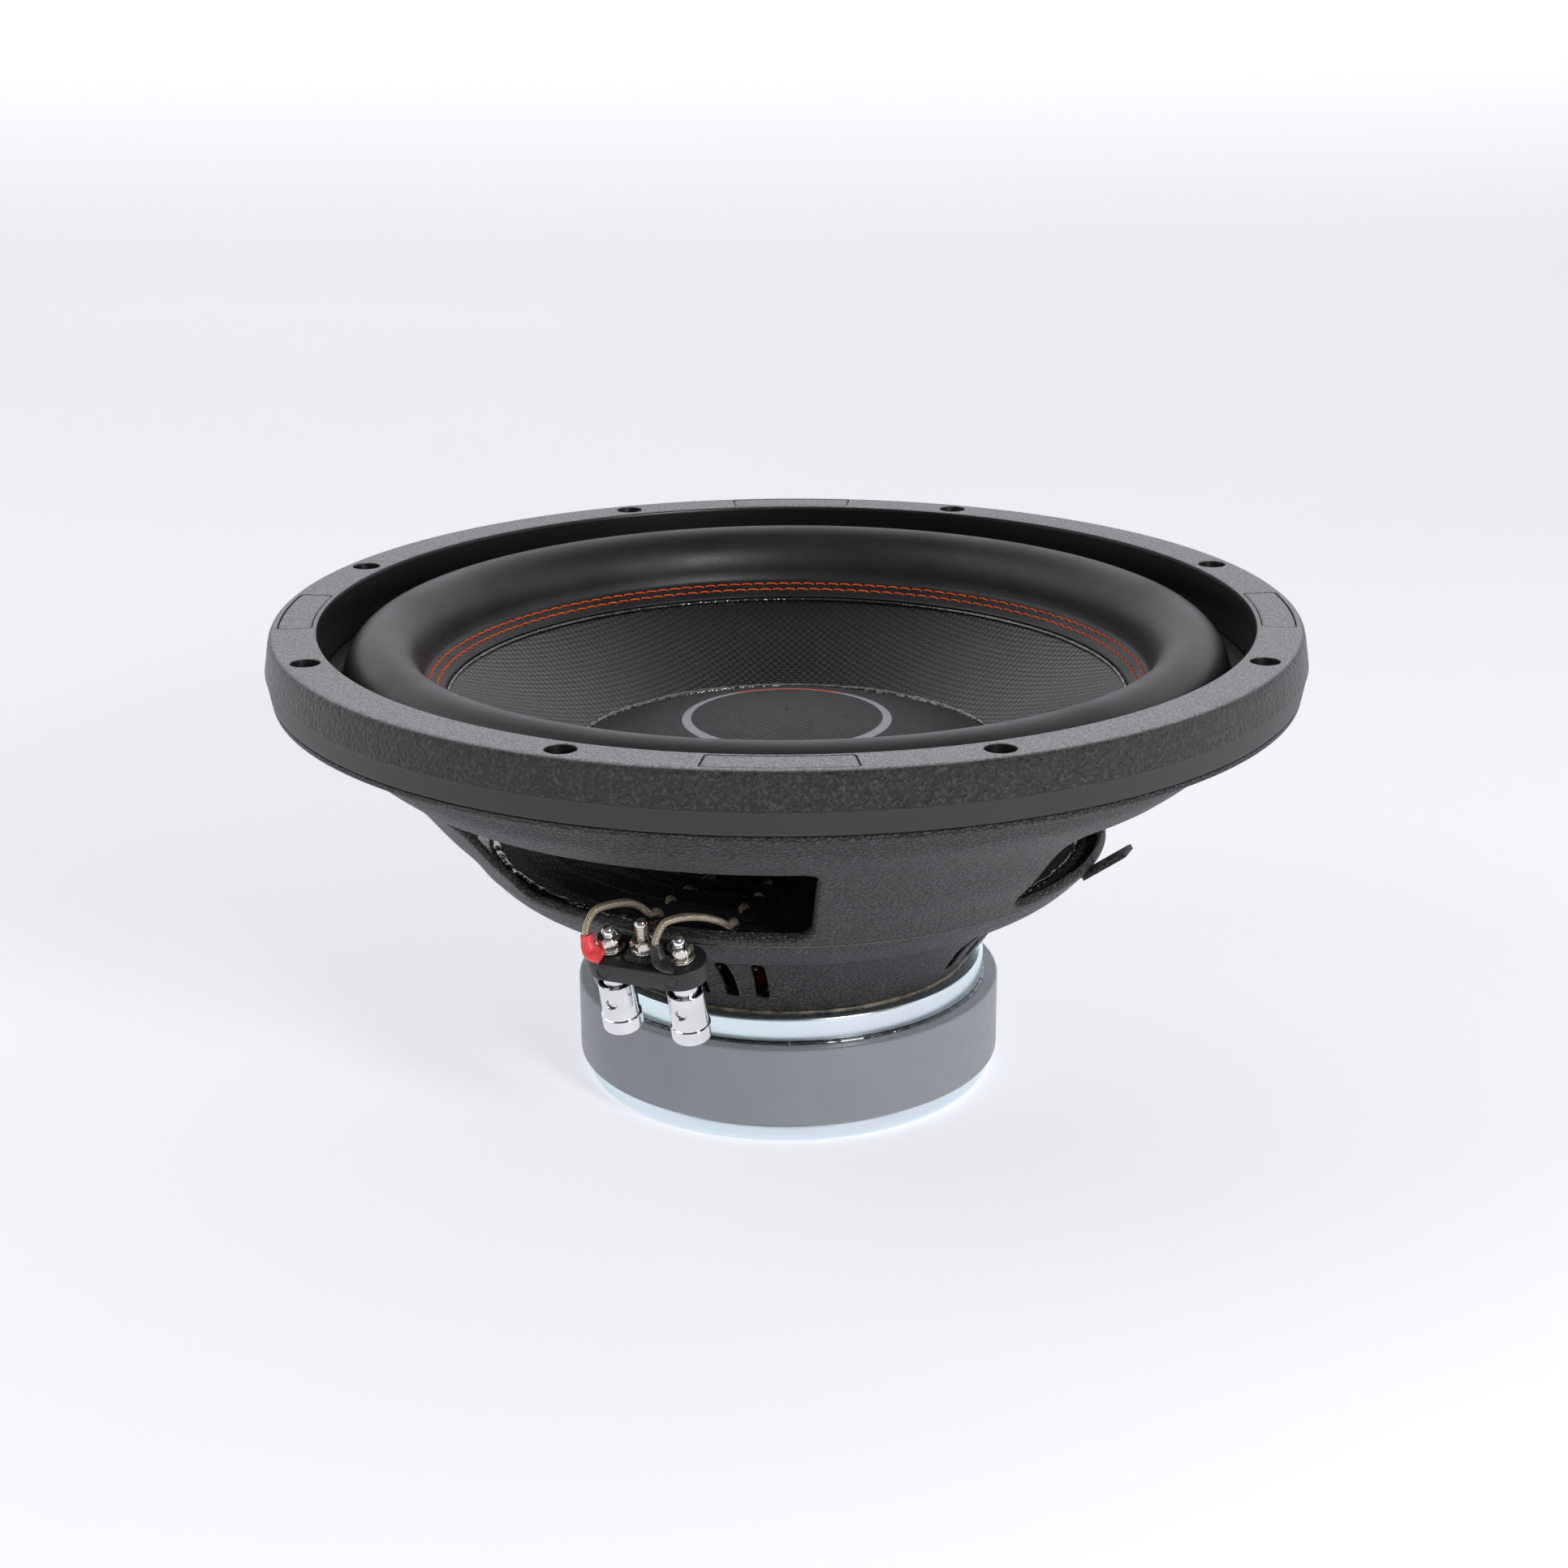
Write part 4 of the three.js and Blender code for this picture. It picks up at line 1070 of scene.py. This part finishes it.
def push_terminal(side, x):
    collar = lathe_at(x, slab(0.05, 4.6, -7.8, collar_top, [0, 0.25, 0.25, 0], 3), 64, closed=False)
    rod_bottom, thick, thin = -20.3, 4.65, 4.05
    rod = lathe_at(x, [(0.05, rod_bottom), (4.3, rod_bottom), (thick, rod_bottom + 0.5), (thick, -13.4),
                       (thin, -12.6), (thin, -8.6), (4.3, -7.9), (4.4, -7.7)], 64, closed=False)
    piece(f"terminal_post_{side}", placed(join(collar, rod, threaded(x, collar_top, 7.1))), "chrome",
          node=f"post_{side}", angle=40)
    piece(f"sleeve_{side}", placed(shifted(sleeve_shape(), x)), "chrome", body=f"push_{side}",
          node=f"push_sleeve_{side}", angle=30)

    coil_radius, coils, spring_low, spring_length = 3.1, 4.5, -25.3, 4.3
    spring_points = []
    for t in np.linspace(0, 1, 97):
        a = t * coils * TURN
        spring_points.append((x + coil_radius * math.cos(a), coil_radius * math.sin(a),
                              spring_low + spring_length * t))
    spring = piece(f"spring_{side}", placed(tube(spring_points, 0.3, 8)), "spring_steel", body=None,
                   node=f"push_spring_{side}", angle=60)
    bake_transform(spring)

    piece(f"nut_{side}", placed(nut_on_washer(x, 0.95, 1.35, 4.0)), "nickel", node=f"lug_nut_{side}",
          angle=25)
    piece(f"ring_lug_{side}", placed(extrude(arc_points(x, 0, 4.3, count=49)[:-1], 0, 0.9, 0.2, 2)), "nickel",
          node=f"lug_{side}", angle=30)


# Spine of each shrink boot from its post, and its half width and half height along the way.
boots = {
    "positive": (
        [(-0.2, -5.6, 1.1), (-2.2, -5.6, 1.3), (-4.0, -5.0, 2.2), (-5.0, -3.9, 4.2), (-5.3, -3.4, 6.2)],
        [3.0, 2.9, 2.5, 2.0, 1.8], [1.0, 1.4, 1.8, 1.8, 1.7], "red_shrink"),
    "negative": (
        [(0.9, -5.4, 1.2), (-1.6, -5.6, 1.5), (-3.7, -5.0, 2.4), (-4.9, -4.0, 4.4), (-5.3, -3.4, 6.4)],
        [2.7, 3.0, 2.7, 2.1, 1.8], [1.2, 1.6, 1.9, 1.9, 1.7], "black_shrink"),
}


def shrink_boot(side, x):
    """Heat-shrink sleeve: a flat skirt over the lug's crimp that turns up round the lead.

    Returns its end and a point 1 mm further, where the lead starts.
    """
    path, wide, thin, look = boots[side]
    spine = np.array(curve([(x + dx, y, z) for dx, y, z in path], 7))
    k = np.linspace(0, len(path) - 1, len(spine))
    wide = np.interp(k, range(len(path)), wide)
    thin = np.interp(k, range(len(path)), thin)
    tangent = unit_tangents(spine)
    flat = np.array([0.25, 0.95, 0.1])
    a = full_circle(22)
    rows = []
    for i, t in enumerate(tangent):
        across = unit(flat - t * (flat @ t))
        crumple = 1 + 0.05 * np.sin(3 * a + i * 0.35) + 0.03 * np.sin(5 * a - i * 0.6)
        rows.append(spine[i] + crumple[:, None] * (np.outer(np.cos(a) * wide[i], across)
                                                   + np.outer(np.sin(a) * thin[i], np.cross(t, across))))
    inner = rows[-1] * 0.72 + spine[-1] * 0.28
    rows += [inner, inner - tangent[-1] * 2.2]
    vertices = np.concatenate(rows)
    vertices[:, 2] = np.maximum(vertices[:, 2], 0.02)
    faces = [q[1:] + q[:1] for q in quads(len(rows), len(a))] + [list(range(len(a)))]
    piece(f"boot_{side}", placed((vertices, faces)), look, node=f"lug_boot_{side}", angle=80)
    return placed(([spine[-1], spine[-1] + tangent[-1]], None))[0]


# Each lead's free arch, and the plan of its sewn part over the spider.
leads = {
    "positive": (
        [(-55.4, -97.8, 85.8), (-53.8, -96.4, 88.2), (-51, -94.6, 89), (-46.5, -92.2, 89),
         (-42.1, -88.4, 87.6)],
        [(-38.8, -84.4), (-36.6, -79.4), (-33.4, -69.6), (-28.2, -58.6), (-21.6, -45), (-18, -36.8)]),
    "negative": (
        [(-35.2, -106, 85.2), (-33.6, -104.8, 87.6), (-31, -103.4, 88.3), (-26.5, -100.6, 88),
         (-18.8, -96.2, 86)],
        [(-15.2, -89.8), (-13, -80), (-9.4, -71), (-6.8, -62), (-4.8, -50), (-3.8, -40.8)]),
}


def lead(side, start):
    """Tinsel lead: free up to the spider, then sewn through its cloth towards the coil."""
    arch, sewn = leads[side]
    step, sides, stitch_length, landing = 0.4, 12, 11.5, 14
    last = arch[-1]
    direction = start[1] - start[0]
    route = curve([start[0] - direction * 1.2, start[0] + direction * 0.8, *arch], 8)[:-3]
    for x, y, _ in curve([last, *[(x, y, 0) for x, y in sewn]], 10)[3:]:
        r = math.hypot(x, y)
        stitch = math.cos((88.5 - r) / stitch_length * TURN)
        free = max(0.0, 1 - math.hypot(x - last[0], y - last[1]) / landing) ** 1.5
        cloth = float(spider_height(r)) - 0.4 + 1.9 * stitch
        route.append(np.array([x, y, cloth + (last[2] - cloth) * free]))
    smooth = np.array(route)
    for _ in range(2):
        smooth[1:-1] = (smooth[:-2] + 2 * smooth[1:-1] + smooth[2:]) / 4
    length = np.concatenate([[0], np.cumsum(np.linalg.norm(np.diff(smooth, axis=0), axis=1))])
    even = np.arange(0, length[-1], step)
    fine = np.stack([np.interp(even, length, smooth[:, k]) for k in range(3)], -1)
    obj = piece(f"lead_braid_{side}", tube(fine, 1.15, sides), "braid", body=None, node=f"lead_{side}",
                angle=60)
    layer = obj.data.uv_layers.new(name="along")
    for polygon in obj.data.polygons:
        around = [obj.data.loops[k].vertex_index % sides for k in polygon.loop_indices]
        wraps = max(around) - min(around) > sides / 2
        for k, turn in zip(polygon.loop_indices, around):
            row = obj.data.loops[k].vertex_index // sides
            turn = sides if wraps and turn == 0 else turn
            layer.data[k].uv = (row * step, turn / sides)
    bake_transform(obj)


terminal_block()
tongues()
for side, x in (("positive", -post_x), ("negative", post_x)):
    push_terminal(side, x)
    lead(side, shrink_boot(side, x))
head = lathe_at(0, slab(0.05, 3.5, -9.2, collar_top, [0, 0.8, 0.2, 0], 4), closed=False)
piece("block_bolt_thread", placed(join(threaded(0, 1.2, 11.4), head)), "nickel", node="block_bolt", angle=40)
piece("block_bolt_nut", placed(nut_on_washer(0, 1.65, 2.1, 4.1)), "nickel", node="block_nut", angle=25)


# ---- CAD nodes that keep their own shape ----
for node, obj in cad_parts.items():
    if node.startswith("top_plate_screw"):
        obj.data.materials.clear()
        obj.data.materials.append(looks["nickel"])
        for material_slot in obj.material_slots:
            material_slot.material = looks["nickel"]

# ---- floor and light (metres) ----
bpy.context.scene.view_settings.view_transform = "Standard"
floor_look = Shade("studio_floor", (0.73, 0.735, 0.76), 0.7, specular=0.1)
floor_look.uneven_gloss(3, 2, 0.62, 0.74)
floor_look.bsdf.inputs["Emission Color"].default_value = (0.87, 0.87, 0.905, 1)
glow = floor_look.ramp(floor_look.xyz()[2], 0.0, 0.2, 0.51, 0.86)
floor_look.tree.links.new(glow, floor_look.bsdf.inputs["Emission Strength"])
bend_start, bend = 1.6, 0.9
sweep = [(-3.0, 0.0)]
sweep += [(bend_start + bend * math.sin(a), bend - bend * math.cos(a))
          for a in np.linspace(0, math.pi / 2, 16)]
sweep += [(2.5, 3.2)]
mesh = bpy.data.meshes.new("studio_floor")
mesh.from_pydata([(x, y, z) for x in (-4.0, 4.0) for y, z in sweep], [],
                 [[j, len(sweep) + j, len(sweep) + j + 1, j + 1] for j in range(len(sweep) - 1)])
mesh.shade_smooth()
floor = bpy.data.objects.new("studio_floor", mesh)
bpy.context.scene.collection.objects.link(floor)
mesh.materials.append(floor_look.material)

# The room is bright low down behind and at the sides, dim overhead and in front, and pale where the
# camera sees it.
world = bpy.data.worlds.new("studio")
bpy.context.scene.world = world
world.use_nodes = True
sky = world.node_tree
background = sky.nodes["Background"]
background.inputs["Color"].default_value = (0.86, 0.87, 0.93, 1)
direction = add_node(sky, "TexCoord").outputs["Generated"]
towards_front = add_node(sky, "VectorMath", {0: direction, 1: (0, -0.62, 0.78)}, operation="DOT_PRODUCT")
falloff = add_node(sky, "MapRange", {
    "Value": towards_front.outputs["Value"], "From Min": 0.12, "From Max": 0.56, "To Min": 0.92, "To Max": 0.10,
}, interpolation_type="SMOOTHSTEP")
camera_ray = add_node(sky, "LightPath").outputs["Is Camera Ray"]
seen = add_node(sky, "Math", {0: camera_ray, 1: falloff.outputs["Result"]}, operation="MAXIMUM")
sky.links.new(seen.outputs[0], background.inputs["Strength"])


def softbox(name, place, target, size, power):
    data = bpy.data.lights.new(name, "AREA")
    data.shape = "RECTANGLE"
    data.size, data.size_y = size
    data.energy = power
    obj = bpy.data.objects.new(name, data)
    bpy.context.scene.collection.objects.link(obj)
    obj.location = place
    obj.rotation_mode = "QUATERNION"
    obj.rotation_quaternion = (Vector(target) - Vector(place)).to_track_quat("-Z", "Y")


softbox("key", (0.68, -1.0, 0.64), (0, 0.05, 0.12), (0.3, 0.3), 8)
softbox("front", (-0.3, -1.9, 0.9), (0, 0, 0.08), (1.6, 0.7), 1.5)
softbox("left", (-1.4, -0.2, 1.2), (-0.2, 0, 0), (1.2, 1.0), 7)
softbox("right", (1.5, -0.2, 0.9), (0, 0, 0.1), (0.8, 1.0), 2)
